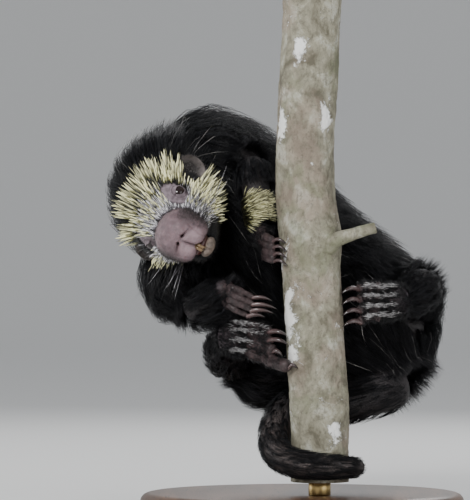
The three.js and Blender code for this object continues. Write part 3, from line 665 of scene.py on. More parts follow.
FOOT = {"size": [4.0, 3.9, 3.3], "hair": (3000, 420, 0.8), "bristles": 110}
PAWS = {
    "hand_right": {
        "palm": (
            [[-69, 6, 160.5], [-65, 1, 160.5], [-60, -2.5, 159]], [7.5, 9, 8], [7, 6.5, 4.5], (0.1, 1, 0)),
        "pads": [([[-69, 2, 165], [-65.5, -1.5, 163.5], [-62.5, -2, 162]], [3.6, 4.4, 3.0]),
                 ([[-67.5, 0, 161], [-65.8, -3, 154.5], [-61.5, -4, 147.8]], [2.4, 2.1, 1.5])],
        "digits": [
            [[-62, -4, 164.2], [-57, -7.5, 163.2], [-50, -9.5, 160], [-43.2, -8, 156.4]],
            [[-62.5, -5, 160], [-58, -9, 158.4], [-51, -11.5, 155.4], [-43, -10, 151.6]],
            [[-62.5, -5, 155.8], [-58.5, -8.5, 153.8], [-52, -10.5, 150.8], [-44, -9, 147.2]],
            [[-62.5, -4, 151.8], [-59.5, -6.5, 149.4], [-54, -8, 146.4], [-47, -7, 143.4]],
        ],
        "size": [2.5, 2.45, 2.2, 1.95], "swelling": 0.12,
        "claw": [[13.4, -1, -2.4], [16.4, -1.5, -3.4], [15, -1, -2], [12, -0.5, -1]],
        "bend": (0, 3, -5), "claw_size": (1.6, 2.9), "look": (0, -1, 0.3), "hair": (190, 10, 0.3),
    },
    "hand_left": {
        "palm": ([[-40, 15, 207], [-38, 9, 202], [-35, 3, 197]], [6.5, 8, 8], [6, 5.5, 4.5], (1, 0.2, 0)),
        "digits": [
            [[-38, 5 - i, 200.5 - 4.5 * i], on_trunk(176, 200.5 - 4.7 * i, 11),
             on_trunk(188, 199.4 - 4.9 * i, 9.5), on_trunk(200, 197.6 - 4.9 * i, 5.6)]
            for i in range(4)
        ],
        "size": [3.0, 3.3, 3.1, 2.7],
        "claw": [[8.5, -6.5, -2.2 - 0.4 * i] for i in range(4)],
        "bend": (3, 5, -7), "claw_size": (1.5, 2.2), "look": (-0.3, -0.95, 0), "hair": (700, 40, 0.3),
    },
    "foot_right": {
        "palm": (
            [[-66, 16, 128], [-57, 8, 127.5], [-47, 3, 125.5]], [10, 12.5, 13], [8.5, 8, 6], (0.2, 1, 0)),
        "digits": toes(-50, 0, ((180, 17), (187, 10.5)), ((137.6, 135.0, 131.8), (132.2, 129.2, 125.8)))
        + toes(-50, 0, ((180, 17), (192, 8.5)), ((125.0, 121.4, 117.8),))
        + toes(-50, 2, ((178, 16), (197, 7.5), (223, 4.8)), ((117.4, 113.2, 109.2, 107.4),)),
        "fuller": (0, 0, 0.45, 0.48), "bare_from": (0.6, 0.5, 0.15, -0.1),
        "claw": [[12, -7.5, -2.6], [12.5, -7.5, -2.8], [5.5, -4, -3.5], [6, -1.5, -1.5]],
        "bend": (2, 6, -7), "claw_size": (2.0, 3.3), "look": (-0.2, -0.98, 0), **FOOT,
    },
    "foot_left": {
        "palm": ([[66, 12, 154], [56, 5, 153.5], [46, 2, 152]], [10, 12.5, 13], [8.5, 8, 6], (-0.2, 1, 0)),
        "digits": toes(49, 0, ((0, 17), (-7, 10.5)), (
            (163.4, 164.4, 162.6), (156.7, 157.1, 154.7), (150.0, 149.8, 146.8), (143.3, 142.5, 138.9),
        )),
        "claw": [[-12, -7.5, -3.4]] * 4,
        "bend": (-2, 6, -9), "claw_size": (1.9, 3.0), "look": (0.2, -0.98, 0), **FOOT,
    },
}


# Hairs and quills

BAKE_PATCH = 0.003
HAIR_CLEAR = 2.0
SILVER_AND_GLINT_SHARE = 0.05


def needles(paths, radii, sides):
    """Closed tapering needles along paths (count, stations, 3), each ending in a point.

    Radii are (count, stations - 1). Returns points, faces and the index of its needle for every point.
    """
    count, stations = paths.shape[:2]
    rings = stations - 1
    ahead = unit(np.diff(paths, axis=1))
    reference = np.where(np.abs(ahead[:, :1, 2:3]) < 0.9, [0.0, 0.0, 1.0], [1.0, 0.0, 0.0])
    side = unit(np.cross(ahead, reference))
    other = np.cross(side, ahead)
    turn = circle(sides)[:, None]
    ring = side[:, :, None] * np.cos(turn) + other[:, :, None] * np.sin(turn)
    body = (paths[:, :rings, None] + ring * radii[:, :, None, None]).reshape(count, -1, 3)
    points = np.concatenate([body, paths[:, -1:]], axis=1)
    k = np.arange(sides)
    after = (k + 1) % sides
    low = (np.arange(rings - 1) * sides)[:, None]
    quads = np.stack([low + k, low + after, low + sides + after, low + sides + k], axis=-1).reshape(-1, 4)
    last = (rings - 1) * sides
    tips = np.stack([last + k, last + after, np.full(sides, rings * sides)], 1)
    per = rings * sides + 1
    base = (np.arange(count) * per)[:, None, None]
    faces = [(block[None] + base).reshape(-1, block.shape[1]) for block in (quads, tips, k[None, ::-1])]
    return points.reshape(-1, 3), faces, np.repeat(np.arange(count), per)


def clear_of_trunk(points):
    """Points inside the trunk are moved straight out of its bark."""
    away = points[..., :2] - np.stack([trunk_x(points[..., 2]), 0 * points[..., 2]], axis=-1)
    need = np.maximum(TRUNK_RADIUS + HAIR_CLEAR - np.linalg.norm(away, axis=-1), 0)
    inside = (points[..., 2] > TRUNK_FOOT) & (points[..., 2] < TRUNK_TOP)
    moved = points.copy()
    moved[..., :2] += unit(away) * (need * inside)[..., None]
    return moved


def needle_piece(name, paths, radii, sides, shares, shade, roots, material, slot):
    """A piece of needles, each a small patch in the UV map at its root's place on the unwrapped skin.

    shares is how far along the needle each of its rings is coloured.
    """
    points, faces, owner = needles(clear_of_trunk(paths), radii, sides)
    tone = np.tile(np.concatenate([np.repeat(shares[:-1], sides), [1.0]]), len(paths))
    place = (np.mod(roots, 1.0) * (1 - BAKE_PATCH))[owner]
    uv = place + np.stack([tone, np.mod(np.arange(len(tone)), 3) / 2], axis=1) * BAKE_PATCH
    return piece(name, (points, faces), material, slot, uv=uv, tone=tone, shade=shade[owner])


SHORT = ((0, 0.5, 1), (1.0, 0.7))


def spines(name, roots, ways, lengths, radius, material, slot, unwrap, shade, bow=0.0, shape=SHORT, sides=3):
    """Needles from roots: root + way times length times s, bowed by bow times s squared.

    shape gives the stations s and the share of the radius at each but the last.
    """
    stations, profile = (np.asarray(part) for part in shape)
    s = stations[None, :, None]
    bow = np.broadcast_to(bow, ways.shape)
    paths = roots[:, None] + ways[:, None] * lengths[:, None, None] * s + bow[:, None] * s**2
    radii = np.broadcast_to(radius, len(roots))[:, None] * profile
    return needle_piece(name, paths, radii, sides, stations, shade, unwrap, material, slot)


def tufted(rng, count, each, tube, t_range, length, swing, tips, spread):
    """Draws tufts over a tube and the hairs in each: their root, reach, swing and height of tip.

    Hairs of one tuft start apart by up to spread and come three quarters of the way together by its tip.
    """
    coherence = 0.75
    overhang = 14
    t0 = rng.uniform(*t_range, count)
    a0 = rng.uniform(0, TURN, count)
    keep = rng.uniform(0, 1, count) < np.maximum(tube.rounding(np.clip(t0, 0, 1)), 0.05)
    t0, a0 = t0[keep], a0[keep]
    tuft = np.repeat(np.arange(len(t0)), each)
    n = len(tuft)
    sizes = through(tube.sizes, np.clip(t0, 0, 1))[:, :2].mean(axis=1)
    dt = rng.uniform(-1, 1, n) * spread / tube.length
    da = rng.uniform(-1, 1, n) * spread / sizes[tuft]
    reach = length * rng.uniform(0.85, 1.15, len(t0)) / tube.length
    reach = np.minimum(reach, np.maximum(overhang / tube.length + 1 - t0, 0.02))
    swings = rng.normal(0, swing, len(t0))
    heights = tips * rng.uniform(0.82, 1.0, len(t0))
    share = rng.uniform(0.72, 1.04, n)
    return {
        "t": t0[tuft] + dt,
        "angle": a0[tuft] + da,
        "reach": reach[tuft] * share - dt * coherence,
        "swing": swings[tuft] + rng.normal(0, 0.03, n) - da * coherence,
        "tips": heights[tuft] * rng.uniform(0.62, 1.0, n) * (0.5 + 0.5 * share),
        "root": np.stack([t0, a0 / TURN], axis=1)[tuft],
    }


def coat_piece(name, tube, hairs, radius, others, material, seed, stations=(0, 0.3, 0.66, 1), openness=0.0):
    """One mesh of hairs on a tube, without those whose root is inside another part of the body.

    Hairs rise from the skin like 1 - (1 - s)^2 and lie along the tube by their tips. A few are silvery: partly
    pale-tipped hairs, partly painted glints on the hair tips.
    """
    under = 1.0
    sunk = 1.5
    root = tube.point(hairs["t"], hairs["angle"], -under)
    keep = ~np.any([other.holds(root, under) for other in others], axis=0)
    hair = {key: value[keep] for key, value in hairs.items()}
    rng = np.random.default_rng(seed)
    s = np.asarray(stations)[None]
    along, around = (hair[a][:, None] + hair[b][:, None] * s for a, b in (("t", "reach"), ("angle", "swing")))
    low = tube.point(along, around, -sunk)
    high = tube.point(along, around, hair["tips"][:, None], openness)
    paths = low + (high - low) * (1 - (1 - s) ** 2)[..., None]
    paths = paths + rng.normal(0, 0.55, paths.shape) * (s**1.5)[..., None]
    count = len(paths)
    thick = radius * rng.uniform(0.75, 1.25, count)[:, None] * (1 - 0.62 * s[:, :-1])
    # Painted glints: a few hairs drawn silvery, partly pale-tipped hairs and partly glints on the hair tips.
    silver_and_glint = rng.uniform(0, 1, count) < SILVER_AND_GLINT_SHARE
    shade = np.where(silver_and_glint, rng.uniform(1.5, 3.2, count), rng.uniform(0, 1, count))
    shares = np.linspace(0, 1, len(stations))
    needle_piece(name, paths, thick, 3, shares, shade, hair["root"], material, "fur")


# Settings that a user would change

def colour_of(name, description, default):
    """A setting that is a colour."""
    return bpy.props.FloatVectorProperty(
        name=name, description=description, subtype="COLOR", size=3, default=default)


def size_of(name, description, default, kind="LENGTH"):
    """A setting with a unit."""
    return bpy.props.FloatProperty(name=name, description=description, default=default, unit=kind)


def count_of(name, description, default):
    """A setting that is a number of things."""
    return bpy.props.IntProperty(name=name, description=description, default=default, min=1)


class CoatSettings(bpy.types.PropertyGroup):
    density: bpy.props.FloatProperty(
        name="Density", description="Share of the full number of hairs", default=1.0, min=0.05, max=1.5)
    hair_radius: size_of("Hair radius", "Half thickness of a hair at its root", 0.22 * MM)
    colour: colour_of("Colour", "Colour of the dark hairs", (0.0036, 0.0038, 0.0052))
    pale_hairs: count_of("Pale hairs", "Number of long whitish guard hairs", 300)


class QuillSettings(bpy.types.PropertyGroup):
    count: count_of("Quills", "Number of quills drawn over the head", 1180)
    # The greyer quills behind are partly painted shade.
    fine_count: count_of("Fine quills", "Number of thinner, greyer quills behind", 460)
    length: size_of("Length", "Length of a quill on the crown", 17.5 * MM)
    radius: size_of("Radius", "Half thickness of a quill", 0.56 * MM)
    colour: colour_of("Colour", "Colour of the pale length of a quill", (1.0, 0.965, 0.57))


class SkinSettings(bpy.types.PropertyGroup):
    nose: colour_of("Nose", "Colour of the bare nose", (0.235, 0.155, 0.172))
    paws: colour_of("Paws", "Colour of the bare hands and feet", (0.085, 0.055, 0.056))
    claws: colour_of("Claws", "Colour of the claws", (0.098, 0.064, 0.063))
    teeth: colour_of("Teeth", "Colour of the front teeth", (0.21, 0.135, 0.066))


class PerchSettings(bpy.types.PropertyGroup):
    bark: colour_of("Bark", "Main colour of the bark", (0.29, 0.274, 0.205))
    relief: size_of("Relief", "Height of the bark's swellings", 0.9 * MM)
    wood: colour_of("Stand wood", "Colour of the stand's wood", (0.1, 0.05, 0.027))


class StudioSettings(bpy.types.PropertyGroup):
    floor: colour_of("Floor", "Colour of the floor", (0.85, 0.85, 0.84))
    key_power: size_of("Key light", "Power of the main light", 26.0, "POWER")
    distance: size_of("Camera distance", "From the camera to the trunk", 3.0)


# The studio

FRAME_HIGH = 500
PIXEL = 0.72
FRAME_CENTRE = np.array([-56.9, 0.0, 190.8])
FLOOR_RADIUS = 5000.0
COVE_RADIUS = 2500.0

# Each light's place, width, height and share of the main light's power
LIGHTS = (
    ("key_light", (-0.7, -1.5, 1.1), 0.5, 0.5, 1.0),
    ("fill_light", (1.3, -1.2, 0.6), 1.2, 1.2, 0.35),
    ("back_light", (0.3, 1.4, 1.0), 1.0, 0.6, 0.3),
    ("left_light", (-1.5, 0.5, 0.6), 0.6, 1.0, 0.3),
)


def stand_in_scene(name, data, place, turn):
    """An object of lamp or camera data at a place."""
    obj = bpy.data.objects.new(name, data)
    obj.location = tuple(place)
    obj.rotation_euler = turn
    bpy.context.scene.collection.objects.link(obj)
    return obj


class PORCUPINE_OT_studio(bpy.types.Operator):
    """Makes the floor, the soft lights and the camera"""

    bl_idname = "porcupine.studio"
    bl_label = "Studio"

    def execute(self, context):
        given = context.scene.porcupine_studio
        turn = np.linspace(0, np.pi / 2, 24)
        cove = np.stack([FLOOR_RADIUS + COVE_RADIUS * np.sin(turn), COVE_RADIUS * (1 - np.cos(turn))], axis=1)
        flat = np.stack([np.linspace(0, FLOOR_RADIUS, 24), np.zeros(24)], axis=1)
        points, faces = lathe(np.vstack([flat[:-1], cove, [[0, 0]]]), (0, 0), 96)
        floor = mesh_object("floor", points[:-1], [block[:, ::-1] for block in faces[:2]])
        floor.data.materials.append(new_material("Studio floor", tuple(given.floor), 0.7)[0])
        middle = np.array([-0.05, 0.03, 0.2])
        for name, place, width, height, share in LIGHTS:
            light = bpy.data.lights.new(name, "AREA")
            light.shape = "RECTANGLE"
            light.size = width
            light.size_y = height
            light.energy = given.key_power * share
            x, y, z = unit(middle - place)
            stand_in_scene(name, light, place, (np.arccos(-z), 0.0, np.arctan2(-x, y)))
        world = bpy.data.worlds.new("Studio air")
        context.scene.world = world
        world.use_nodes = True
        background = world.node_tree.nodes["Background"]
        background.inputs["Color"].default_value = (0.8, 0.82, 0.85, 1)
        background.inputs["Strength"].default_value = 0.55
        camera = bpy.data.cameras.new("camera")
        camera.sensor_width = 36.0
        camera.lens = camera.sensor_width * given.distance / (FRAME_HIGH * PIXEL * MM)
        camera.clip_end = 100
        place = FRAME_CENTRE * MM + np.array([0, -given.distance, 0])
        context.scene.camera = stand_in_scene("camera", camera, place, (np.pi / 2, 0, 0))
        return {"FINISHED"}


# The skin

class PORCUPINE_OT_skin(bpy.types.Operator):
    """Makes one skin over the body, head, limbs and tail"""

    bl_idname = "porcupine.skin"
    bl_label = "Skin"

    def execute(self, context):
        inset = {"skull": -0.4, "jaw": -0.4}
        parts = [tube.surface(40, 48, inset.get(name, 0.0)) for name, tube in FLESH.items()]
        voxel = 1.8
        tail_reach = 24
        points, faces = fused(parts, voxel, 7)
        for side in (1, -1):
            points = sink_socket(points, side)
        x, y, z = placed(HEAD_BACK, points).T
        stations = np.linspace(0, 1, 80)
        nearest, distance = near(points, through(TAIL.path, stations))
        masks = {
            "eye_patch": on_eye_patch(points, 1.15),
            "muzzle": slope(x - 12, 10) * (np.abs(y) < 30) * (np.abs(z) < 50),
            "tail_skin": slope(np.where(distance < tail_reach, stations[nearest], 0) - 0.3, 0.2),
        }
        material, nodes, shader, colour = skin_material(
            "Body skin", (0.03, 0.024, 0.026), (0.012, 0.01, 0.011), 500.0, 0.5, 0.6)
        looks = {
            "eye_patch": ((0.23, 0.18, 0.2), (0.12, 0.085, 0.1), 900.0, 0.7),
            "muzzle": ((0.17, 0.14, 0.165), (0.06, 0.048, 0.055), 800.0, 0.5),
            "tail_skin": ((0.085, 0.065, 0.06), (0.025, 0.02, 0.02), 420.0, 0.9),
        }
        for name in ("muzzle", "tail_skin", "eye_patch"):
            light, dark, grain, depth = looks[name]
            look = nodes.group("Creased skin", Light=light, Dark=dark, Grain=grain, Depth=depth)
            colour = nodes.mix(nodes.attribute(name), colour, look["Color"])
            if name == "tail_skin":
                nodes.link(look["Normal"], shader["Normal"])
        nodes.link(colour, shader["Base Color"])
        piece("porcupine_skin", (points, faces), material, "fur", "torso", "neck", "head", "tail_base",
              "tail_middle", "tail_grip", "tail_end", *LIMBS, **masks)
        return {"FINISHED"}


def sink_socket(points, side):
    """Near an eye the skin is drawn towards a plane across its look, less and less over the socket."""
    u, v, h = eye_place(points, side)
    reach = (u - PATCH_MIDDLE[0]) ** 2 + (v - PATCH_MIDDLE[1]) ** 2 + np.minimum(h, 0) ** 2
    wide = 19
    pull = 0.85
    weight = slope(1 - reach / wide**2) ** 1.3
    return points - eye_axes(side)[0] * ((h - EYE_PLANE) * weight * pull * (h > -6))[:, None]


# The face

class PORCUPINE_OT_face(bpy.types.Operator):
    """Makes the bulb of the nose with its lips and nostrils, the eyes and lids, the ears and the teeth"""

    bl_idname = "porcupine.face"
    bl_label = "Face"

    def execute(self, context):
        given = context.scene.porcupine_skin
        make_nose(tuple(given.nose))
        make_chin(tuple(given.nose))
        make_eyes()
        make_ears()
        make_teeth(tuple(given.teeth))
        return {"FINISHED"}


def nose_reach(ray, middle):
    """Along each ray from the middle, the softened furthest of the bulb and the two lobes of the lip."""
    total = 0
    for centre, sizes in NOSE_BULBS:
        offset = (middle - centre) / np.array(sizes)
        way = ray / sizes
        a = np.sum(way**2, -1)
        b = np.sum(way * offset, -1)
        inside = b**2 - a * (np.sum(offset**2) - 1)
        root = (-b + np.sqrt(np.maximum(inside, 0))) / a
        total = total + np.where(inside > 0, np.maximum(root, 0), 0) ** 12
    return total ** (1 / 12)


def nose_shape(ray):
    """The nose's points, and how much painted shade, how pale and how downy each is.

    Each feature is a smooth bump or groove in y and z, taken off along the ray.
    """
    middle = np.array([31.0, 0, -14])
    point = middle + ray * nose_reach(ray, middle)[..., None]
    x, y, z = np.moveaxis(point, -1, 0)
    wide = np.abs(y)
    front = slope(x - 37, 7)
    cleft = hill(y, 0.9) * slope(-13.5 - z, 3) * front
    valley = hill(y, 2.6) * slope(-14.5 - z, 4) * front
    line = -12.0 - 0.38 * np.maximum(wide - 3.0, 0)
    slit = hill(z - line, 0.65) * np.clip(wide - 1.6, 0.45, 1) * slope(11.5 - wide, 5)
    hole = hill(wide - 3.5, 1.15, z - line + 0.2)
    wing = hill(wide - 6.0, 3.4, z - line - 2.4, 1.7)
    shelf = hill(wide - 5.5, 4.5, z + 15.6, 2.6)
    dimple = hill(y, 4.5, z + 5, 5)
    fold = hill(wide - 12.0 - 0.25 * (z + 14), 0.9) * slope(-9 - z, 4)
    rough = 0.2 * noise(point, 5.5, 5) + 0.07 * noise(point, 1.6, 6)
    inward = (
        1.7 * cleft + 0.8 * valley
        + (1.1 * slit + 3.2 * hole - 0.55 * wing - 0.5 * shelf + 0.5 * dimple) * front
        + 0.45 * fold - rough
    )
    # Painted shade in the nostrils, their slits, the cleft between the lobes and the fold.
    dark = hole + 0.55 * slit * front + 0.5 * cleft + 0.2 * fold
    pale = slope(line - 1.2 - z, 2.2) * front * slope(14 - wide, 4)
    downy = slope(wide - 9.5 + 0.25 * (z + 14), 7) * slope(-1 - z, 6)
    return point - ray * inward[..., None], dark, pale, np.maximum(downy, slope(38 - x, 12))


def make_nose(colour):
    """The bulb: a mauve pad above, nostrils and their slits across, and two paler lobes of lip below."""
    grid = nose_shape(sphere(144, 172))
    ends = nose_shape(POLES)
    masks = {
        name: np.clip(np.concatenate([grid[k].ravel(), ends[k]]), 0, 1)
        for k, name in enumerate(("dark", "pale", "downy"), 1)
    }
    material, nodes, shader, tint = skin_material("Nose skin", colour, scaled(colour, 0.62), 900.0, 0.5, 0.46)
    lips = tuple(min(1.0, c * 1.32 + 0.045) for c in colour)
    tint = nodes.mix(nodes.mask(nodes.noise(160.0), 0.42, 0.62), tint, scaled(colour, 0.6), 0.35)
    tint = nodes.mix(nodes.attribute("pale"), tint, lips, 0.8)
    tint = nodes.mix(nodes.attribute("downy"), tint, (0.055, 0.04, 0.043), 0.8)
    # Painted shade: the nostrils, slits, cleft and fold are drawn near-black.
    nodes.link(nodes.mix(nodes.attribute("dark"), tint, (0.025, 0.009, 0.009)), shader["Base Color"])
    shader["Subsurface Weight"].default_value = 0.1
    shader["Subsurface Radius"].default_value = (0.003, 0.0012, 0.0008)
    shader["Subsurface Scale"].default_value = 1.0
    shape = closed_rings(in_head(grid[0]), *in_head(ends[0]))
    piece("nose_bulb", shape, material, "nose_skin", "nose", **masks)


def make_chin(nose):
    """The lower lip: a soft pad round the lower teeth, and behind it a near-black shell of painted shade inside
    the mouth.
    """
    colour = scaled(nose, 0.95, 1.1, 0.8)
    lip = skin_material("Lower lip", colour, scaled(colour, 0.35), 800.0, 0.5, 0.45)[0]
    points, faces = ellipsoid(LIP_MIDDLE, [8.4, 7.6, 4.6], 40, 56)
    groove = hill(points[:, 1] - 1, 1.5) * slope(points[:, 0] - 34, 5)
    hollow = hill(points[:, 1], 3.6) * slope(points[:, 2] + 32, 2)
    points[:, 0] -= 1.7 * groove
    points[:, 2] -= 1.6 * hollow
    points += 0.14 * noise(points, 3.0, 41)[:, None]
    piece("lower_lip", (in_head(points), faces), lip, "nose_skin")
    # Painted shade: a near-black shell stands for the shade inside the mouth.
    mouth = new_material("Mouth shade", (0.05, 0.014, 0.012), 0.35)[0]
    points, faces = ellipsoid([32.0, 0, -28.5], [8.5, 8.0, 4.5])
    piece("mouth_shade_shell", (in_head(points), faces), mouth, "nose_skin")


def make_eyes():
    """Two glossy balls, and round each the lids and the bare creased skin."""
    eye = new_material("Eye", (0.012, 0.003, 0.003), 0.03, Specular_IOR_Level=0.55)[0]
    skin, nodes, shader, colour = skin_material(
        "Eye skin", (0.36, 0.29, 0.325), (0.2, 0.155, 0.175), 1300.0, 0.55, 0.45)
    # Painted shade: the grooves, folds and lid edges are drawn almost black.
    nodes.link(nodes.mix(nodes.attribute("dark"), colour, (0.045, 0.028, 0.032)), shader["Base Color"])
    graph = bpy.context.evaluated_depsgraph_get()
    tree = BVHTree.FromObject(bpy.data.objects["porcupine_skin"], graph)
    made = []
    for side, name in SIDES:
        ball = ellipsoid(eye_centre(side), EYE_RADIUS, 32, 48)
        piece(f"eye_{name}_ball", ball, eye, "eye", f"eye_{name}")
        made.append(eye_skin(side, tree))
    bands, tones = zip(*made)
    piece("eye_skin", merged(bands), skin, "quilled_face", dark=np.concatenate(tones))


def eye_skin(side, tree):
    """Rings from the lid's edge to the rim of the bare oval, as high as the lid or the skin below.

    Each ring keeps its share of the way out. Folds ring the lids, fine creases run outwards, and a groove
    runs from the inner corner to the midline. Returns the band, and its painted shade: darker in the groove,
    the fold rings and the troughs of the creases, and darkest at the lid's edge.
    """
    above = 26
    lid_thickness = 0.6
    look, inward, crown = eye_axes(side)
    sides, rows = ((120, 56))
    turn = circle(sides)
    way = np.stack([np.cos(turn), np.sin(turn)], axis=1)
    a = np.sum((way / PATCH_SIZES) ** 2, axis=1)
    b = -np.sum(way * PATCH_MIDDLE / PATCH_SIZES**2, axis=1)
    c = np.sum((PATCH_MIDDLE / PATCH_SIZES) ** 2) - 1.2
    rim = (-b + np.sqrt(b * b - a * c)) / a
    edge = 3.35 + 0.4 * np.cos(2 * turn) + 0.5 * hill(wrapped(turn - 0.3), 0.3)
    share = np.linspace(0, 1, rows)
    radius = edge[:, None] + (rim - edge)[:, None] * share**1.35
    u = radius * way[:, :1]
    v = radius * way[:, 1:]
    flat = eye_centre(side) + inward * u[..., None] + crown * v[..., None]
    high = np.empty(radius.shape)
    for i in np.ndindex(radius.shape):
        start = (flat[i] + look * above) * MM
        hit = tree.ray_cast(start.tolist(), (-look).tolist(), 0.05)
        high[i] = above - hit[3] / MM if hit[0] is not None else EYE_PLANE
    lid = np.sqrt(np.maximum((EYE_RADIUS + lid_thickness) ** 2 - radius**2, 0))
    lid = lid - 0.25 * np.maximum(radius - 4.6, 0)
    sharp = 2.2
    height = np.log(np.exp(sharp * lid) + np.exp(sharp * (high + 0.35))) / sharp
    wrinkle = np.sin(9 * turn + 1.5 * np.sin(3 * turn))[:, None] * np.sin(np.pi * share) ** 2
    ringed = hill(radius - 5.7, 0.45) + 0.6 * hill(radius - 7.3, 0.4)
    tear = hill(v - 1.1 - 0.12 * u, 0.5) * slope(u - 2.6) * slope(12 - u, 4)
    hem = slope(share - 0.86, 0.14) ** 2
    height = height - 0.32 * ringed + 0.13 * wrinkle - 0.55 * tear - 1.4 * hem
    tucked = np.sqrt(EYE_RADIUS**2 - edge[:, None] ** 2) - 0.25
    height = np.where(share < 1.5 / rows, tucked, height)
    # Painted shade in the tear groove, the fold rings, the troughs of the creases and at the lid's edge where
    # it tucks against the ball.
    dark = 0.85 * tear + 0.5 * ringed + slope(1 - share / 0.12) * 0.9 + 0.25 * np.maximum(-wrinkle, 0)
    return grid_loop(flat + look * height[..., None]), np.clip(dark, 0, 1).ravel()


def make_ears():
    """Small round cups: from the base up the outside, over a thin rim and down into the hollow, which painted
    shade darkens.
    """
    material, nodes, shader, colour = skin_material(
        "Ear skin", (0.3, 0.265, 0.255), (0.17, 0.145, 0.138), 700.0, 0.4, 0.55)
    # Painted shade: the hollow is drawn almost black.
    nodes.link(nodes.mix(nodes.attribute("dark"), colour, (0.012, 0.008, 0.007)), shader["Base Color"])
    around = circle(72)
    share = np.linspace(0, 1, 35)[:, None]
    rim = 0.5
    outer = np.minimum(share / rim, 1)
    inner = np.maximum((share - rim) / rim, 0)
    radius = np.where(share <= rim, 4.0 + 5.6 * np.sin(outer * np.pi / 2), 9.6 - 7.8 * inner**1.5)
    depth = np.where(share <= rim, -4.6 + 7.0 * outer**1.5, 2.4 - 6.4 * np.sin(inner * np.pi / 2))
    lobe = 1 + 0.06 * np.cos(around) - 0.05 * np.cos(3 * around + 0.5)
    ridge = 0.5 * np.sin(2 * around + 1) * np.sin(np.pi * inner)
    spread = (radius + ridge) * lobe
    x = depth + 0.5 * np.sin(2 * around) * outer
    y = spread * np.cos(around)
    z = spread * np.sin(around) * 1.05
    # Painted shade, growing down into the hollow.
    dark = np.concatenate([np.repeat(slope(inner[:, 0] * 2.2 - 0.5), len(around)), [0, 1]])
    for side, name in SIDES:
        tilt = side * 0.5
        rings = EAR_MIDDLE * [1, side, 1] + np.stack(
            [x * np.cos(tilt) - y * np.sin(tilt), x * np.sin(tilt) + y * np.cos(tilt), z], axis=-1)
        shape = closed_rings(in_head(rings), *in_head([rings[0].mean(0), rings[-1].mean(0)]))
        piece(f"ear_{name}_cup", shape, material, "ear_skin", f"ear_{name}", dark=dark)


def make_teeth(colour):
    """Gnawing teeth: curved bars with a chisel edge, two above and two below."""
    material, nodes, shader = new_material("Enamel", colour, 0.28)
    streak = nodes.mask(nodes.noise(500.0, stretch=(1, 1, 0.3)), 0.35, 0.7)
    nodes.link(nodes.mix(streak, scaled(colour, 0.5), colour), shader["Base Color"])
    for node, root, tip, width in (
        ("teeth_upper", [39.5, -24], [42.1, -30.8], 2.4),
        ("teeth_lower", [35, -34.5], [38.6, -30.6], 2.2),
    ):
        middle = [(root[0] + tip[0]) / 2 + 0.7, (root[1] + tip[1]) / 2]
        pair = []
        for side in (1, -1):
            path = in_head([[x, side * width * 0.48, z] for x, z in (root, middle, tip)])
            across = [width / 2 - 0.05, width / 2 - 0.05, width / 2.4]
            pair.append(Tube(path, across, [1.3, 1.2, 0.45], FORWARD, (0.05, 0.05)).surface(14, 20))
        piece(node + "_pair", merged(pair), material, "tooth", node)


def grid_loop(ring):
    """Points and faces of a band (around, profile, 3) that closes round, open at its two edges."""
    around, profile = ring.shape[:2]
    a, p = np.meshgrid(np.arange(around), np.arange(profile - 1), indexing="ij")
    one = a * profile + p
    two = ((a + 1) % around) * profile + p
    return ring.reshape(-1, 3), [np.stack([one, two, two + 1, one + 1], axis=-1).reshape(-1, 4)]


# The paws

class PORCUPINE_OT_paws(bpy.types.Operator):
    """Makes the bare hands and feet with their wrinkled digits, glossy claws and bristles"""

    bl_idname = "porcupine.paws"
    bl_label = "Paws"

    def execute(self, context):
        given = context.scene.porcupine_skin
        light = tuple(given.paws)
        skin, nodes, shader, colour = skin_material("Paw skin", light, scaled(light, 0.35), 900.0, 0.8, 0.36)
        heel = nodes.mix(nodes.attribute("heel"), colour, (0.13, 0.108, 0.122))
        # Painted shade: the folds across the digits are drawn almost black.
        nodes.link(nodes.mix(nodes.attribute("fold"), heel, (0.012, 0.008, 0.008)), shader["Base Color"])
        horn = tuple(given.claws)
        claws, nodes, shader = new_material("Claw", horn, 0.16, Coat_Weight=0.6, Coat_Roughness=0.08)
        tip = scaled(horn, 0.2)
        tint = nodes.ramp(nodes.attribute("tone"), [(0.0, scaled(horn, 1.5)), (0.3, horn), (0.9, tip)])
        streak = nodes.mask(nodes.noise(700.0, 3), 0.4, 0.7)
        nodes.link(nodes.mix(streak, tint, tip, 0.35), shader["Base Color"])
        hair = strand_material(
            "Paw hair", (0.006, 0.006, 0.007), (0.007, 0.007, 0.008), (0.02, 0.019, 0.02), 0.45)
        bristle = strand_material(
            "Toe bristle", (0.03, 0.027, 0.027), (0.22, 0.21, 0.21), (0.5, 0.49, 0.49), 0.35, 0.1, 0.45, 0.7)
        for seed, (node, paw) in enumerate(PAWS.items(), 300):
            palm, digits = paw_tubes(paw)
            paw_skin(node, paw, palm, digits, skin)
            shapes, tones = zip(*map(claw, [paw] * 4, paw["digits"], paw["claw"]))
            piece(node + "_claws", merged(shapes), claws, "paw_skin", tone=np.concatenate(tones))
            rng = np.random.default_rng(seed)
            paw_hair(node, paw, palm, digits, hair, rng, seed)
            if "bristles" in paw:
                toe_bristles(node, paw, palm, digits, bristle, rng, seed + 9)
        return {"FINISHED"}


def paw_tubes(paw):
    """The palm's tube and the digits' tubes, each digit swollen a little at its knuckles."""
    share = np.linspace(0, 1, 7)
    size = through([[radius, 0, 0] for radius in paw["size"]], share)[:, 0]
    knuckles = 1 + paw.get("swelling", 0.1) * np.array([0, 0.9, -0.6, 0.7, -0.8, 0.2, 0.2])
    digits = [
        Tube(through(digit, share), size * (1 + fuller * share) * knuckles, None, (0.1, 0, 1), (0.1, 0.14))
        for digit, fuller in zip(paw["digits"], paw.get("fuller", (0, 0, 0, 0)))
    ]
    return Tube(*paw["palm"], (0.16, 0.2)), digits


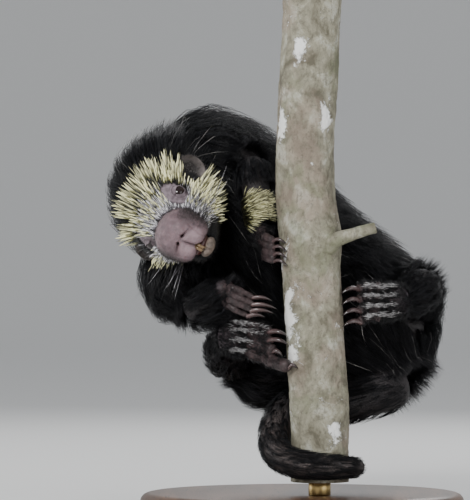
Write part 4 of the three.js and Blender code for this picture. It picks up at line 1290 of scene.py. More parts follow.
def paw_skin(node, paw, palm, digits, material):
    """Palm and digits as one skin, with folds across the digits and painted shade that darkens them where they
    fold.
    """
    parts = [palm.surface(24, 32)] + [digit.surface(24, 20) for digit in digits]
    parts += [Tube(path, size).surface(16, 16) for path, size in paw.get("pads", ())]
    voxel = 0.46
    fold_apart = 2.3
    fold_depth = 0.32
    points, faces = fused(parts, voxel, 2)
    share = np.zeros(len(points))
    nearness = np.full(len(points), 1e9)
    stations = np.linspace(0, 1, 40)
    for digit in digits:
        closest, distance = near(points, through(digit.path, stations))
        share = np.where(distance < nearness, stations[closest] * digit.length, share)
        nearness = np.minimum(distance, nearness)
    thickness = paw["size"][0]
    fold = slope(np.sin(share * TURN / fold_apart + 1.5 * noise(points, 7, 8)) - 0.35)
    fold = fold * slope(thickness * 1.5 - nearness)
    away = unit(points - through(palm.path, 0.5))
    grain = 0.16 * noise(points, 2.4, 9)[:, None] * unit(paw["look"])
    points = points - away * (fold_depth * fold)[:, None] + grain
    heel = slope(1 - (points - palm.path[0]) @ unit(palm.path[-1] - palm.path[0]) / (0.8 * palm.length))
    heel = heel * slope(nearness / thickness - 1)
    # The fold attribute carries the painted shade in the folds.
    piece(node + "_skin", (points, faces), material, "paw_skin", node, fold=fold * 0.7, heel=heel)


def claw(paw, digit, way):
    """A curved claw: root + (way - bend) times s + bend times s squared, its section a tapering upright oval.

    Returns its points and faces, and how far along it each point is.
    """
    way, bend = (np.array(part, float) for part in (way, paw["bend"]))
    s = np.linspace(-0.14, 1, 26)[:, None]
    path = np.asarray(digit[-1]) + way * s - bend * s + bend * s * np.abs(s)
    along = unit(way)
    side = unit(np.cross(along, unit(paw["look"])))
    up = np.cross(side, along)
    taper = np.clip(1 - slope(s) ** 2.2, 0.0, 1) ** 0.75
    around = circle(18)
    wide, high = paw["claw_size"]
    keel = 1 - 0.18 * np.maximum(0, -np.sin(around))
    rings = (
        path[:-1, None] + side * (wide * taper[:-1] * np.cos(around))[..., None]
        + up * (high * taper[:-1] * np.sin(around) * keel)[..., None]
    )
    tone = np.concatenate([np.repeat(slope(s[:-1, 0]), len(around)), [0, 1]])
    return closed_rings(rings, path[0] - along * 0.3, path[-1]), tone


def unwrapped(t, angle):
    """Places on an unwrapped tube, at shares along it and angles round it."""
    return np.stack([t, angle / TURN], axis=1)


def paw_hair(node, paw, palm, digits, material, rng, seed):
    """Dark hair over the back of the paw and the digits."""
    look = unit(paw["look"])
    on_palm, on_digit, reach = paw["hair"]
    made = []
    for k, tube in enumerate([palm] + digits):
        count = on_digit if k else on_palm
        t = rng.uniform(0.02, reach if k else 0.95, count)
        angle = rng.uniform(0, TURN, count)
        out, along = tube.directions(t, angle)
        keep = (out @ look > -0.35) | (rng.uniform(0, 1, count) < 0.25)
        way = unit(out * 0.5 + along * 0.95 + rng.normal(0, 0.16, out.shape))
        length = rng.uniform(4.0, 7.5, count) * (0.8 if k else 1)
        parts = (tube.point(t, angle, -0.5), way, length, unwrapped((k + t) / 6, angle))
        made.append([part[keep] for part in parts])
    bristled(node + "_hair", made, 0.24, material, seed)


def toe_bristles(node, paw, palm, digits, material, rng, seed):
    """A row of pale bristles along each toe, from behind the palm on."""
    look = unit(paw["look"])
    count = paw["bristles"]
    made = []
    for k, (digit, bare_from) in enumerate(zip(digits, paw.get("bare_from", (0.6,) * 4))):
        t = rng.uniform(-0.75, bare_from, count)
        first = digit.path[0]
        back = first + (palm.path[0] + [0, 0, first[2] - palm.path[:, 2].mean()] - first) * 0.9
        behind = first + (back - first) * -t[:, None]
        centre = np.where(t[:, None] < 0, behind, digit.point(np.maximum(t, 0), 0.0, -9.0))
        scatter = rng.normal(0, [0.9, 0.5, 0.75], (count, 3))
        top = centre + look * (palm.sizes[0, 1] * 0.9) + [0, 0, 1.2] + scatter
        forward = unit(digit.path[-1] - back)
        way = unit(forward * 0.9 + look * 0.35 + [0, 0, 0.1] + rng.normal(0, 0.14, (count, 3)))
        length = rng.uniform(4.5, 8.0, count)
        made.append([top, way, length, np.stack([(k + 0.5 + t * 0.4) / 5, rng.uniform(0, 1, count)], axis=1)])
    bristled(node + "_bristles", made, 0.2, material, seed)


def bristled(name, made, radius, material, seed):
    """One piece of short straight hairs, from lists of roots, directions, lengths and unwrapped places."""
    roots, ways, lengths, unwrap = (np.concatenate(part) for part in zip(*made))
    shade = np.random.default_rng(seed).uniform(0, 1, len(roots))
    shape = ((0, 0.5, 1), (1.0, 0.75))
    spines(name, roots, ways, lengths, radius, material, "fur", unwrap, shade, shape=shape)


# The coat

COATS = {
    "torso": {"tufts": 7600, "each": 6, "length": 44, "swing": 0.1, "tips": 23, "spread": 2.6},
    "neck": {"tufts": 2300, "each": 6, "length": 36, "swing": 0.1, "tips": 22, "spread": 2.4},
    "upper_arm": {"tufts": 620, "each": 6, "length": 30, "swing": 0.14, "tips": 14, "spread": 2.0},
    "forearm": {"tufts": 420, "each": 6, "length": 20, "swing": 0.18, "tips": 6, "spread": 1.6},
    "thigh": {"tufts": 760, "each": 6, "length": 32, "swing": 0.14, "tips": 14, "spread": 2.2},
    "shank": {"tufts": 480, "each": 6, "length": 21, "swing": 0.18, "tips": 6.5, "spread": 1.7},
    "tail": {"tufts": 1300, "each": 5, "length": 19, "swing": 0.14, "tips": 4.2, "spread": 1.6},
}


class PORCUPINE_OT_coat(bpy.types.Operator):
    """Covers the skin with long dark hair in tufts, and sparse pale guard hairs"""

    bl_idname = "porcupine.coat"
    bl_label = "Coat"

    def execute(self, context):
        given = context.scene.porcupine_coat
        colour = tuple(given.colour)
        fur = strand_material("Dark fur", colour, colour, scaled(colour, 4.2, 3.8, 3.2), 0.46, 0.1, 0.68, 1.5,
                              Specular_IOR_Level=0.3)
        pale = strand_material(
            "Pale hair", (0.02, 0.02, 0.02), (0.2, 0.19, 0.185), (0.45, 0.43, 0.41), 0.4, 0.3, 0.6, 0.8)
        radius = given.hair_radius / MM
        density = given.density * 1.0
        body_coat(fur, radius, density)
        limb_coats(fur, radius, density)
        pale_hairs(pale, given.pale_hairs)
        return {"FINISHED"}


def coat_hairs(name, seed, density, tube, span):
    """Tufts drawn over a span of a tube with the sizes of one of COATS."""
    look = dict(COATS[name])
    tufts = int(look.pop("tufts") * density)
    return tufted(np.random.default_rng(seed), tufts, tube=tube, t_range=span, **look)


def body_coat(fur, radius, density):
    """The torso's coat in four lengths, then the neck's and the tail's."""
    spans = np.linspace(0.0, 0.97, 5)
    limbs = list(LIMBS.values())
    for i in range(4):
        hairs = coat_hairs("torso", 100 + i, density / 4, TORSO, spans[i:i + 2])
        coat_piece(f"coat_torso_{i + 1}", TORSO, hairs, radius, [NECK, SKULL, *limbs], fur, 200 + i)
    hairs = coat_hairs("neck", 111, density, NECK, (-0.05, 0.95))
    coat_piece("coat_neck", NECK, hairs, radius, [TORSO, SKULL, *limbs], fur, 211, openness=1.0)
    hairs = coat_hairs("tail", 112, density, TAIL, (0.0, 0.9))
    hairs["tips"] = hairs["tips"] * (1.2 - 0.9 * hairs["t"])
    coat_piece("coat_tail", TAIL, hairs, radius * 0.85, [TORSO, LIMBS["thigh_right"]], fur, 212, (0, 0.5, 1))


def limb_coats(fur, radius, density):
    """The limbs' coats. On the left forearm the hair stops short of its patch of quills."""
    for i, (name, tube) in enumerate(LIMBS.items()):
        hairs = coat_hairs(name.rsplit("_", 1)[0], 120 + i, density, tube, (0.02, 0.93))
        others = [other for key, other in FLESH.items() if key not in (name, "jaw")]
        if name == "forearm_right":
            hairs["tips"] = hairs["tips"] * (1 + 2.0 * slope(-np.sin(hairs["angle"]) - 0.2))
        if name == "forearm_left":
            facing = np.abs(wrapped(hairs["angle"])) < 1.5
            hairs["reach"] = np.where(facing, np.minimum(hairs["reach"], 0.56 - hairs["t"]), hairs["reach"])
            quilled = facing & (hairs["t"] > 0.42)
            hairs = {key: value[~quilled] for key, value in hairs.items()}
        coat_piece(f"coat_{name}", tube, hairs, radius * 0.9, others, fur, 220 + i, (0, 0.35, 0.7, 1), 0.1)


def pale_hairs(material, count):
    """Long whitish hairs that stand a little clear of the dark coat."""
    parts = (("torso", TORSO, 0.7, 0.97, 0.0), ("neck", NECK, 0.3, 0.9, 1.0))
    for i, (name, tube, share, limit, openness) in enumerate(parts):
        rng = np.random.default_rng(140 + i)
        hairs = tufted(rng, int(count * share), 1, tube, (0.02, limit), 44, 0.16, 24.5, 0.0)
        hairs["tips"] = rng.uniform(18, 24, len(hairs["t"]))
        coat_piece(f"pale_hairs_{name}", tube, hairs, 0.14, [SKULL, *LIMBS.values()], material, 240 + i,
                   (0, 0.25, 0.5, 0.75, 1), openness)


# The quills

# Ovals that quills leave free as seen from the front: the middle, half sizes and tilt in degrees
EAR_GAP = (np.array([-86.5, 20.0, 250.5]), (8.4, 7.2), -35)
RIGHT_EYE_GAP = (np.array([-119.5, 4.0, 196.2]), (5.8, 4.4), 0)
RIGHT_EAR_GAP = (np.array([-133.5, 60.0, 181.0]), (15.5, 12.0), 0)

QUILL = ((0, 0.14, 0.4, 0.7, 0.9, 1), (0.55, 0.8, 1.0, 0.95, 0.6))
DARK_QUILLS = 0.38


def bare(points, spare=0.0):
    """Which points are on the bare skin of the eyes, nose, chin and ears, spare millimetres round it."""
    local = placed(HEAD_BACK, points)
    hidden = on_eye_patch(points, 1.0 + spare / 9)
    for side in (1, -1):
        hidden |= np.linalg.norm(points - in_head(EAR_MIDDLE * [1, side, 1]), axis=1) < 12.5 + spare
    nose = (local - [32, 0, -11.6]) / (np.array([19.5, 19.8, 17.6]) + spare)
    chin = (local - LIP_MIDDLE) / (np.array([8.4, 7.6, 5.3]) + spare)
    return hidden | (np.sum(nose**2, axis=1) < 1) | (np.sum(chin**2, axis=1) < 1)


def along_hairs(roots, ways, lengths, steps):
    """Points at steps from 0 to 1 along straight hairs."""
    return roots[:, None] + ways[:, None] * lengths[:, None, None] * np.array(steps)[:, None]


def over_eye(roots, ways, lengths, share):
    """Which straight hairs cross the bare oval round an eye, along its look or as seen from the front."""
    places = along_hairs(roots, ways, lengths, (0.25, 0.45, 0.65, 0.85, 1.0))
    look, inward, crown = eye_axes(1)
    middle = eye_centre(1) + look * EYE_PLANE + inward * PATCH_MIDDLE[0] + crown * PATCH_MIDDLE[1]
    found = on_eye_patch(places, share, -1.0) | seen_over(places, middle, inward, crown, PATCH_SIZES * share)
    return found.any(axis=1)


def over_gap(roots, ways, lengths, middle, sizes, degrees):
    """Which straight hairs stand before an upright oval, turned by degrees, as seen from the front."""
    places = along_hairs(roots, ways, lengths, (0.3, 0.6, 0.85, 1.0))
    tilt = np.radians(degrees)
    across = np.array([np.cos(tilt), 0, np.sin(tilt)])
    up = np.array([-np.sin(tilt), 0, np.cos(tilt)])
    return seen_over(places, middle, across, up, sizes).any(axis=1)


def shades(rng, count):
    """Lightness of quills: the share DARK_QUILLS are dark olive and the rest pale."""
    dark = rng.uniform(0, 1, count) < DARK_QUILLS
    return np.where(dark, rng.uniform(-0.08, 0.22, count), rng.uniform(0.4, 0.6, count))


def drawn(seed, count, t_range):
    """Roots spread evenly over the skull by the golden angle, a little shaken."""
    rng = np.random.default_rng(seed)
    i = np.arange(count) + 0.5
    low, high = t_range
    t = low + (high - low) * (i / count) ** 0.92 + rng.normal(0, 0.006, count)
    angle = i * np.pi * (3 - np.sqrt(5)) + rng.normal(0, 0.1, count)
    return rng, t, np.mod(angle, TURN)


class PORCUPINE_OT_quills(bpy.types.Operator):
    """Sets the quills and bristles of the head, and the patch of quills on the left forearm"""

    bl_idname = "porcupine.quills"
    bl_label = "Quills"

    def execute(self, context):
        given = context.scene.porcupine_quills
        colour = tuple(given.colour)
        # The quills' dark roots and olive middles are partly their own colour and partly painted shade deep in
        # the fan.
        quill = strand_material(
            "Quill", (0.03, 0.028, 0.012), scaled(colour, 0.33, 0.33, 0.24), colour, 0.32, 0.26, 0.46, 1.6)
        white = (0.97, 0.95, 0.98)
        bristle = strand_material(
            "Muzzle bristle", (0.05, 0.043, 0.05), (0.4, 0.375, 0.42), white, 0.4, 0.22, 0.46, 1.4)
        black = (0.008, 0.008, 0.009)
        fur = strand_material("Face fur", black, black, (0.03, 0.027, 0.026), 0.45, 0.1, 0.6, 0.8)
        down = strand_material(
            "Nose down", (0.03, 0.022, 0.022), (0.04, 0.03, 0.03), (0.09, 0.075, 0.075), 0.5)
        ear = strand_material(
            "Ear down", (0.1, 0.088, 0.084), (0.18, 0.165, 0.16), (0.36, 0.34, 0.33), 0.5)
        head_quills(given, quill)
        forearm_quills(quill)
        muzzle_bristles(bristle)
        face_fur(fur)
        nose_down(down)
        ear_down(ear)
        whiskers(fur, bristle)
        return {"FINISHED"}


def head_quills(given, material):
    """The crown's and cheeks' quills, longest behind and shortest round the muzzle, leaning backwards."""
    long = given.length / MM
    thick = given.radius / MM
    passes = (
        ("head_quills", 7, given.count, (0.12, 0.8), long, thick, 0.0, 0.62),
        # The fine quills behind are drawn darker: partly greyer quills, partly painted shade at the back of the
        # head.
        ("head_quills_fine", 9, given.fine_count, (0.06, 0.5), long * 1.15, thick * 0.6, -0.34, 0.75),
        ("brow_quills", 13, 1700, (0.28, 0.64), 9.5, thick * 0.9, 0.06, 0.5),
    )
    for name, seed, count, span, long, thick, lighter, lean in passes:
        rng, t, angle = drawn(seed, count, span)
        root = SKULL.point(t, angle, -1.0)
        out, along = SKULL.directions(t, angle)
        cheek = slope(-np.sin(angle) - 0.1, 0.7)
        muzzle = slope(t - 0.42, 0.36)
        muzzle = muzzle * muzzle * (3 - 2 * muzzle)
        length = (long + (8.0 - long) * muzzle) * (1 - 0.42 * cheek) * rng.uniform(0.62, 1.12, count)
        length *= 1 - 0.22 * slope(np.cos(angle) - 0.8, 0.15)
        lean = lean + 0.4 * muzzle + rng.normal(0, 0.13, count)
        across = np.cross(out, along) * rng.normal(0, 0.13, count)[:, None]
        way = unit(out - along * lean[:, None] + across)
        keep = np.sin(angle) > rng.normal(0, 0.1, count) - 0.7 + 0.306 * np.cos(angle)
        for gap in (EAR_GAP, RIGHT_EYE_GAP, RIGHT_EAR_GAP):
            keep &= ~over_gap(root, way, length, *gap)
        keep &= rng.uniform(0, 1, count) > 0.5 * hill(angle - 1.75, 0.3) * (t < 0.42)
        if name == "brow_quills":
            keep &= np.abs(angle - 3.2) < 0.85
        keep &= ~bare(SKULL.point(t, angle)) & ~NECK.holds(root, 3) & ~over_eye(root, way, length, 0.9)
        radius = thick * (1 - 0.4 * muzzle) * rng.uniform(0.8, 1.15, count)
        shade = shades(rng, count) + lighter
        bow = -along * (0.07 * length)[:, None]
        root, way, length, radius, unwrap, shade, bow = (
            part[keep] for part in (root, way, length, radius, unwrapped(t, angle), shade, bow))
        spines(name, root, way, length, radius, material, "quilled_face", unwrap, shade, bow, QUILL, 6)


def forearm_quills(material):
    """A patch of fine quills on the outer side of the left forearm, lying across it towards the trunk."""
    tube = Tube([[-46, 27, 236], [-44, 20, 222], [-41, 10, 204]], [12.5, 12.5, 10.5], [11, 11, 9.5], ACROSS)
    rng = np.random.default_rng(17)
    count = 980
    t = rng.uniform(0.4, 0.86, count)
    angle = rng.normal(-0.4, 0.72, count)
    root = tube.point(t, angle, -2.0)
    out, along = tube.directions(t, angle)
    right = np.array([1.0, -0.2, 0.15])
    way = unit(out * 0.5 + along * (t - 0.62)[:, None] + right * 0.8 + rng.normal(0, 0.12, (count, 3)))
    length = rng.uniform(9.0, 14.5, count)
    radius = 0.28 * rng.uniform(0.7, 1.3, count)
    shade = shades(rng, count) - 0.12 - 0.2 * slope(t - 0.75)
    unwrap = unwrapped(t, np.mod(angle, TURN))
    shape = ((0, 0.15, 0.5, 0.85, 1), (0.7, 1.0, 0.9, 0.5))
    spines("forearm_quills", root, way, length, radius, material, "fur", unwrap, shade, -out * 2.0, shape, 5)


def muzzle_bristles(material):
    """Short whitish bristles round the nose and over the cheeks in front of the eyes."""
    count = 4600
    rng, t, angle = drawn(8, count, (0.46, 0.97))
    root = SKULL.point(t, angle, -0.6)
    out, along = SKULL.directions(t, angle)
    way = unit(out * 0.6 - along * 0.8 + rng.normal(0, 0.16, (count, 3)))
    length = rng.uniform(3.2, 8.4, count) * (1.15 - 0.3 * slope(t - 0.6, 0.3))
    keep = np.sin(angle) > rng.normal(0, 0.12, count) - 0.62 + 0.3 * np.cos(angle)
    keep &= ~bare(SKULL.point(t, angle), -1.6)
    keep &= ~over_eye(root, way, length, 0.84) & ~over_gap(root, way, length, *RIGHT_EYE_GAP)
    keep &= rng.uniform(0, 1, count) < np.clip((t - 0.46) / 0.18, 0.15, 1)
    root, way, length, bow, unwrap = (
        part[keep] for part in (root, way, length, -along * 0.8, unwrapped(t, angle)))
    radius = rng.uniform(0.18, 0.36, len(root))
    shade = shades(rng, len(root))
    shape = ((0, 0.35, 0.75, 1), (0.8, 1.0, 0.7))
    spines("muzzle_bristles", root, way, length, radius, material, "quilled_face", unwrap, shade, bow, shape, 4)


def face_fur(material):
    """Short dark fur between the quills, under the jaw and up to the nose."""
    for i, (name, tube, other, count, t_range, size) in enumerate((
        ("face_fur", SKULL, JAW, 17000, (0.04, 0.96), 6.5),
        ("jaw_fur", JAW, SKULL, 6200, (0.0, 0.97), 7.5),
    )):
        rng = np.random.default_rng(150 + i)
        count = int(count * (1.0))
        t = rng.uniform(*t_range, count)
        angle = rng.uniform(0, TURN, count)
        root = tube.point(t, angle, -0.8)
        out, along = tube.directions(t, angle)
        way = unit(out * 0.55 - along * 0.8 + rng.normal(0, 0.2, (count, 3)))
        length = size * rng.uniform(0.6, 1.2, count)
        keep = ~bare(tube.point(t, angle), -0.8) & ~over_eye(root, way, length, 0.9)
        keep &= ~over_gap(root, way, length, *RIGHT_EYE_GAP)
        keep &= ~other.holds(root, 1.0) & ~NECK.holds(root, 2.0)
        root, way, length, unwrap = (part[keep] for part in (root, way, length, unwrapped(t, angle)))
        shade = rng.uniform(0, 1, len(root))
        spines(name, root, way, length, 0.17, material, "quilled_face", unwrap, shade)


def nose_down(material):
    """Very short down on the sides of the nose, lying backwards."""
    rng = np.random.default_rng(160)
    ray = unit(rng.normal(size=(15000, 3)))
    point, _, _, downy = nose_shape(ray)
    keep = (rng.uniform(0, 1, len(ray)) < downy * 0.8) & (point[:, 0] > 24)
    ray, point = ray[keep], point[keep]
    count = len(ray)
    way = unit(ray * [0.3, 1, 1] + [-0.9, 0, 0.1] + rng.normal(0, 0.22, (count, 3))) @ HEAD[:3, :3].T
    unwrap = unwrapped(np.arccos(ray[:, 0]) / np.pi, np.arctan2(ray[:, 2], ray[:, 1]) + np.pi)
    length = rng.uniform(1.8, 3.6, count)
    shade = rng.uniform(0, 1, count)
    spines("nose_down", in_head(point - ray * 0.3), way, length, 0.09, material, "nose_skin", unwrap, shade)


def ear_down(material):
    """Sparse short hair over the outside and rim of the ears, leaning outwards and back."""
    count = 1500
    for side, name in SIDES:
        vertices = bpy.data.objects[f"ear_{name}_cup"].data.vertices
        rng = np.random.default_rng(170 + side)
        picked = rng.integers(0, len(vertices), count)
        points = (read(vertices, "co", 3) / MM)[picked]
        normals = read(vertices, "normal", 3)[picked]
        way = unit(normals * 0.6 - FORWARD * 0.5 + rng.normal(0, 0.25, (count, 3)))
        place = points + rng.normal(0, 0.35, (count, 3)) - normals * 0.4
        unwrap = np.stack([picked / len(vertices), rng.uniform(0, 1, count)], axis=1)
        length = rng.uniform(1.6, 4.2, count)
        shade = rng.uniform(0.2, 1, count)
        spines(f"ear_down_{name}", place, way, length, 0.09, material, "ear_skin", unwrap, shade)


def whiskers(dark, pale):
    """Long fine whiskers from the sides of the muzzle, bowing backwards, and a few pale ones."""
    shape = ((0, 0.2, 0.4, 0.6, 0.8, 1), (1, 0.9, 0.75, 0.6, 0.4))
    for name, count, material, seed in (("whiskers", 36, dark, 19), ("pale_whiskers", 10, pale, 20)):
        rng = np.random.default_rng(seed)
        side = np.where(np.arange(count) % 2 == 0, 1.0, -1.0)
        x = rng.uniform(24, 36, count)
        z = rng.uniform(-24, -10, count)
        root = in_head(np.stack([x, side * 17.5, z], axis=1))
        way = np.stack([rng.uniform(-0.3, 0.25, count), side, rng.uniform(-0.35, 0.3, count)], axis=1)
        way = unit(way) @ HEAD[:3, :3].T
        bow = -FORWARD * rng.uniform(6, 12, count)[:, None]
        unwrap = rng.uniform(0, 1, (count, 2))
        length = rng.uniform(24, 44, count)
        shade = rng.uniform(0, 1, count)
        spines(name, root, way, length, 0.11, material, "quilled_face", unwrap, shade, bow, shape, 4)


# The perch and the stand

class PORCUPINE_OT_perch(bpy.types.Operator):
    """Makes the cut length of trunk with its bark, knot, twig stub and lichen"""

    bl_idname = "porcupine.perch"
    bl_label = "Perch"

    def execute(self, context):
        given = context.scene.porcupine_perch
        material = bark(tuple(given.bark))
        trunk(given.relief / MM, material)
        twig(material)
        return {"FINISHED"}


def trunk(relief, material):
    """The bark: the trunk's ripple and knot, long swellings and fine ridges, on a grid round its axis."""
    sides, levels = ((168, 368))
    z = np.linspace(TRUNK_FOOT, TRUNK_TOP, levels)[:, None]
    angle = circle(sides)
    x = trunk_x(z)

    def round_trunk(radius):
        flat = np.stack([radius * np.cos(angle) + 0 * z, radius * np.sin(angle) + 0 * z], axis=-1)
        return np.concatenate([flat, (z + 0 * angle)[..., None]], axis=-1)

    even = round_trunk(TRUNK_RADIUS)
    knot_height = 200
    knot = 2.6 * hill(z - knot_height, 16)
    ripple = 0.5 * np.sin(3 * angle + z / 40) + knot * (0.3 + np.maximum(0, np.cos(angle + 0.8)))
    swell = relief * 0.7 * noise(even * [1, 1, 0.45], 26, 21)
    ridge = relief * 0.25 * noise(even * [1, 1, 0.5], 5, 22)
    scar = relief * 0.3 * slope((noise(even * [0.4, 0.4, 1], 9, 23) - 0.35) * 4)
    rings = round_trunk(TRUNK_RADIUS + ripple + swell + ridge - scar - 0.5)
    rings[..., 0] += x
    foot, top = (np.array([trunk_x(height), 0.0, height]) for height in (TRUNK_FOOT, TRUNK_TOP))
    inset = np.array([0.93, 0.55])[:, None, None]
    lower = foot + (rings[0] - foot) * inset[::-1]
    upper = top + (rings[-1] - top) * inset
    shape = closed_rings(np.concatenate([lower, rings, upper]), foot, top)
    ends = 2 * sides
    cut = np.concatenate([np.ones(ends), np.zeros(levels * sides), np.ones(ends + 2)])
    crust = np.concatenate([np.zeros(ends), lichen(angle, z).ravel(), np.zeros(ends + 2)])
    piece("trunk_bark", shape, material, "bark", "perch_trunk", cut=cut, crust=crust)


def twig(material):
    """The stub of the twig, swollen where it leaves the knot, with a flat cut end."""
    tube = Tube(
        [[6, -12, 190], [16, -20, 198], [30, -23, 203], [44, -22, 207]], [8, 5.5, 4.2, 4], caps=(0.1, 0.04))
    t = np.linspace(0.02, 0.985, 90)
    rings = tube.point(t[:, None], circle(40), openness=1.0)
    centre = through(tube.path, t)[:, None]
    rings = centre + (rings - centre) * (1 + 0.06 * noise(rings * [0.5, 1, 1], 7, 31))[..., None]
    points, faces = closed_rings(rings, rings[0].mean(axis=0), rings[-1].mean(axis=0))
    cut = np.concatenate([np.zeros(len(points) - 1), [1]])
    piece("twig_stub", (points, faces), material, "bark", "perch_twig", cut=cut)


def bark(main):
    """Grey-beige bark, mottled olive and pinkish brown, with white lichen and pale wood at the cuts."""
    material, nodes, shader = new_material("Bark", roughness=0.85)
    broad = nodes.noise(60.0, 8, 0.68, (1, 1, 0.75), 0.4)
    colour = nodes.ramp(broad, [
        (0.38, scaled(main, 0.42, 0.4, 0.37)), (0.46, scaled(main, 0.78, 0.77, 0.75)),
        (0.54, scaled(main, 1.1)), (0.62, scaled(main, 1.6, 1.66, 1.85)),
    ])
    # Each layer: its noise, where it starts and is full, its share, and the bark's colour under it
    for layer, low, high, share, factors in (
        ((21.0, 5, 0.6), 0.48, 0.6, 0.55, (1.08, 0.9, 0.95)),
        ((27.0, 6, 0.65, (1, 1, 1), 0.5), 0.52, 0.64, 0.55, (0.62, 0.7, 0.54)),
        ((190.0, 5, 0.7), 0.5, 0.66, 0.6, (0.42, 0.4, 0.38)),
        ((240.0, 6, 0.7, (1, 1, 0.3), 0.3), 0.57, 0.68, 0.5, (0.3, 0.28, 0.27)),
        ((620.0, 3, 0.6), 0.6, 0.7, 0.5, (0.25, 0.24, 0.23)),
    ):
        colour = nodes.mix(nodes.mask(nodes.noise(*layer), low, high), colour, scaled(main, *factors), share)
    growth = nodes.maths("MULTIPLY", nodes.attribute("crust"), 0.17)
    crust = nodes.mask(nodes.maths("ADD", nodes.noise(42.0, 12, 0.76, distortion=0.4), growth), 0.6, 0.64)
    colour = nodes.mix(crust, colour, (0.95, 0.95, 0.92), 0.95)
    wood = nodes.ramp(nodes.noise(180.0, 3), [(0.3, (0.3, 0.2, 0.11)), (0.7, (0.5, 0.37, 0.22))])
    nodes.link(nodes.mix(nodes.attribute("cut"), colour, wood), shader["Base Color"])
    fine = nodes.noise(260.0, 8, 0.7, (1, 1, 0.3))
    height = nodes.maths("ADD", fine, nodes.maths("MULTIPLY", crust, 0.35))
    nodes.link(nodes.bump(height, 0.8, 0.0014), shader["Normal"])
    return material


class PORCUPINE_OT_stand(bpy.types.Operator):
    """Makes the wooden base and the brass rod"""

    bl_idname = "porcupine.stand"
    bl_label = "Stand"

    def execute(self, context):
        given = context.scene.porcupine_perch
        centre, radius, _, top = round_box(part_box("stand_base"))
        base = lathe(np.array([
            [0.0, 0.0], [radius - 3, 0.0], [radius - 1.2, 0.4], [radius, 1.6], [radius, top - 5.0],
            [radius - 0.6, top - 3.6], [radius - 2.2, top - 1.6], [radius - 4.4, top - 0.5],
            [radius - 7, top], [0.0, top],
        ]), centre, 160)
        piece("stand_base_wood", base, stand_wood(tuple(given.wood)), "stand_wood", "stand_base")
        centre, radius, foot, top = round_box(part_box("stand_rod"))
        bevel = 0.3
        rod = lathe(np.array([
            [0.0, foot], [radius - bevel, foot], [radius, foot + bevel],
            [radius, top - bevel], [radius - bevel, top], [0.0, top],
        ]), centre, 64)
        brass, nodes, shader = new_material("Brass", (0.62, 0.46, 0.2), 0.28, Metallic=1.0)
        scratch = nodes.noise(900.0, 3, 0.5, (1, 1, 0.05))
        nodes.link(nodes.mask(scratch, -0.6, 2.2), shader["Roughness"])
        piece("stand_rod_brass", rod, brass, "stand_metal", "stand_rod")
        return {"FINISHED"}


def round_box(box):
    """The middle, radius, foot and top of an upright round solid, from its box in metres."""
    low, high = (np.array(corner) / MM for corner in box)
    return (low + high)[:2] / 2, (high[0] - low[0]) / 2, low[2], high[2]


def stand_wood(colour):
    """Dark stained wood: long wavy grain from stretched noise, with fine pores and a satin coat."""
    material, nodes, shader = new_material("Stand wood", roughness=0.38, Coat_Weight=0.3, Coat_Roughness=0.25)
    dark = scaled(colour, 0.45)
    wavy = nodes.noise(26.0, 6, 0.6, (1, 0.08, 1), 1.4)
    tint = nodes.ramp(wavy, [(0.35, dark), (0.5, colour), (0.66, scaled(colour, 1.7))])
    pores = nodes.noise(900.0, 2, 0.5, (1, 0.04, 1))
    nodes.link(nodes.mix(nodes.mask(pores, 0.6, 0.7), tint, dark), shader["Base Color"])
    nodes.link(nodes.bump(pores, 0.15, 0.0003), shader["Normal"])
    return material


LICHEN = (
    (203, 141, 24, 28), (214, 281, 22, 20), (316, 281, 18, 15), (212, 118, 14, 14), (300, 60, 22, 9),
    (250, 336, 16, 12), (110, 300, 30, 26), (40, 210, 26, 20), (150, 95, 26, 16), (20, 120, 20, 24),
)


def lichen(angle, z):
    """Where white crusts grow: soft ovals, each at degrees round and a height, so wide and so high."""
    return np.max([
        hill(np.degrees(wrapped(angle - np.radians(degrees))), wide, z - middle, high)
        for degrees, middle, wide, high in LICHEN
    ], axis=0)


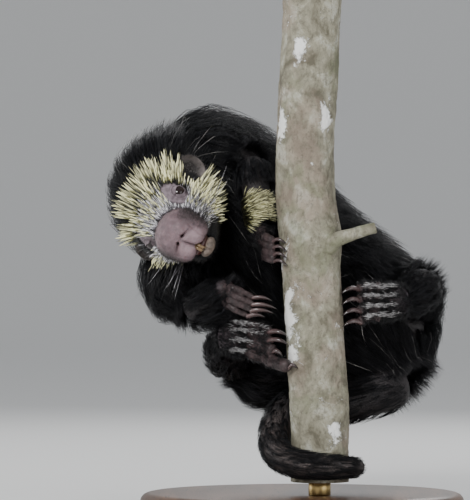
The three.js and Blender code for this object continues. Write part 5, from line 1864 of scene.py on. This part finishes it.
def lathe(profile, centre, sides):
    """A profile of (radius, height) turned round an upright axis, with its two ends on the axis."""
    angle = circle(sides)
    radius, height = profile[1:-1, :, None].transpose(1, 0, 2)
    rings = np.stack([
        centre[0] + radius * np.cos(angle), centre[1] + radius * np.sin(angle), height + 0 * angle,
    ], axis=-1)
    return closed_rings(rings, *([*centre, profile[end, 1]] for end in (0, -1)))


# The panel and the run

class PORCUPINE_PT_panel(bpy.types.Panel):
    """Lists the pieces of the porcupine"""

    bl_label = "Porcupine"
    bl_idname = "PORCUPINE_PT_panel"
    bl_space_type = "VIEW_3D"
    bl_region_type = "UI"
    bl_category = "Porcupine"

    def draw(self, context):
        for operator in OPERATORS:
            self.layout.operator(operator.bl_idname)
        for name in SETTINGS:
            box = self.layout.box()
            given = getattr(context.scene, name)
            for key in given.__annotations__:
                box.prop(given, key)


SETTINGS = {
    "porcupine_studio": StudioSettings,
    "porcupine_skin": SkinSettings,
    "porcupine_coat": CoatSettings,
    "porcupine_quills": QuillSettings,
    "porcupine_perch": PerchSettings,
}
OPERATORS = (
    PORCUPINE_OT_studio,
    PORCUPINE_OT_skin,
    PORCUPINE_OT_face,
    PORCUPINE_OT_paws,
    PORCUPINE_OT_quills,
    PORCUPINE_OT_coat,
    PORCUPINE_OT_perch,
    PORCUPINE_OT_stand,
)


def register():
    """Adds the settings, the operators and the panel to Blender."""
    for kind in (*SETTINGS.values(), *OPERATORS, PORCUPINE_PT_panel):
        bpy.utils.register_class(kind)
    for name, kind in SETTINGS.items():
        setattr(bpy.types.Scene, name, bpy.props.PointerProperty(type=kind))


def unregister():
    """Takes them out again."""
    for name in SETTINGS:
        delattr(bpy.types.Scene, name)
    for kind in (PORCUPINE_PT_panel, *reversed(OPERATORS), *SETTINGS.values()):
        bpy.utils.unregister_class(kind)


def main():
    """Makes every piece in order."""
    register()
    creased_skin_group()
    strand_group()
    bpy.ops.porcupine.studio()
    bpy.ops.porcupine.skin()
    bpy.ops.porcupine.face()
    bpy.ops.porcupine.paws()
    bpy.ops.porcupine.quills()
    bpy.ops.porcupine.coat()
    bpy.ops.porcupine.perch()
    bpy.ops.porcupine.stand()
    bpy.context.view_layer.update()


if __name__ == "__main__":
    main()
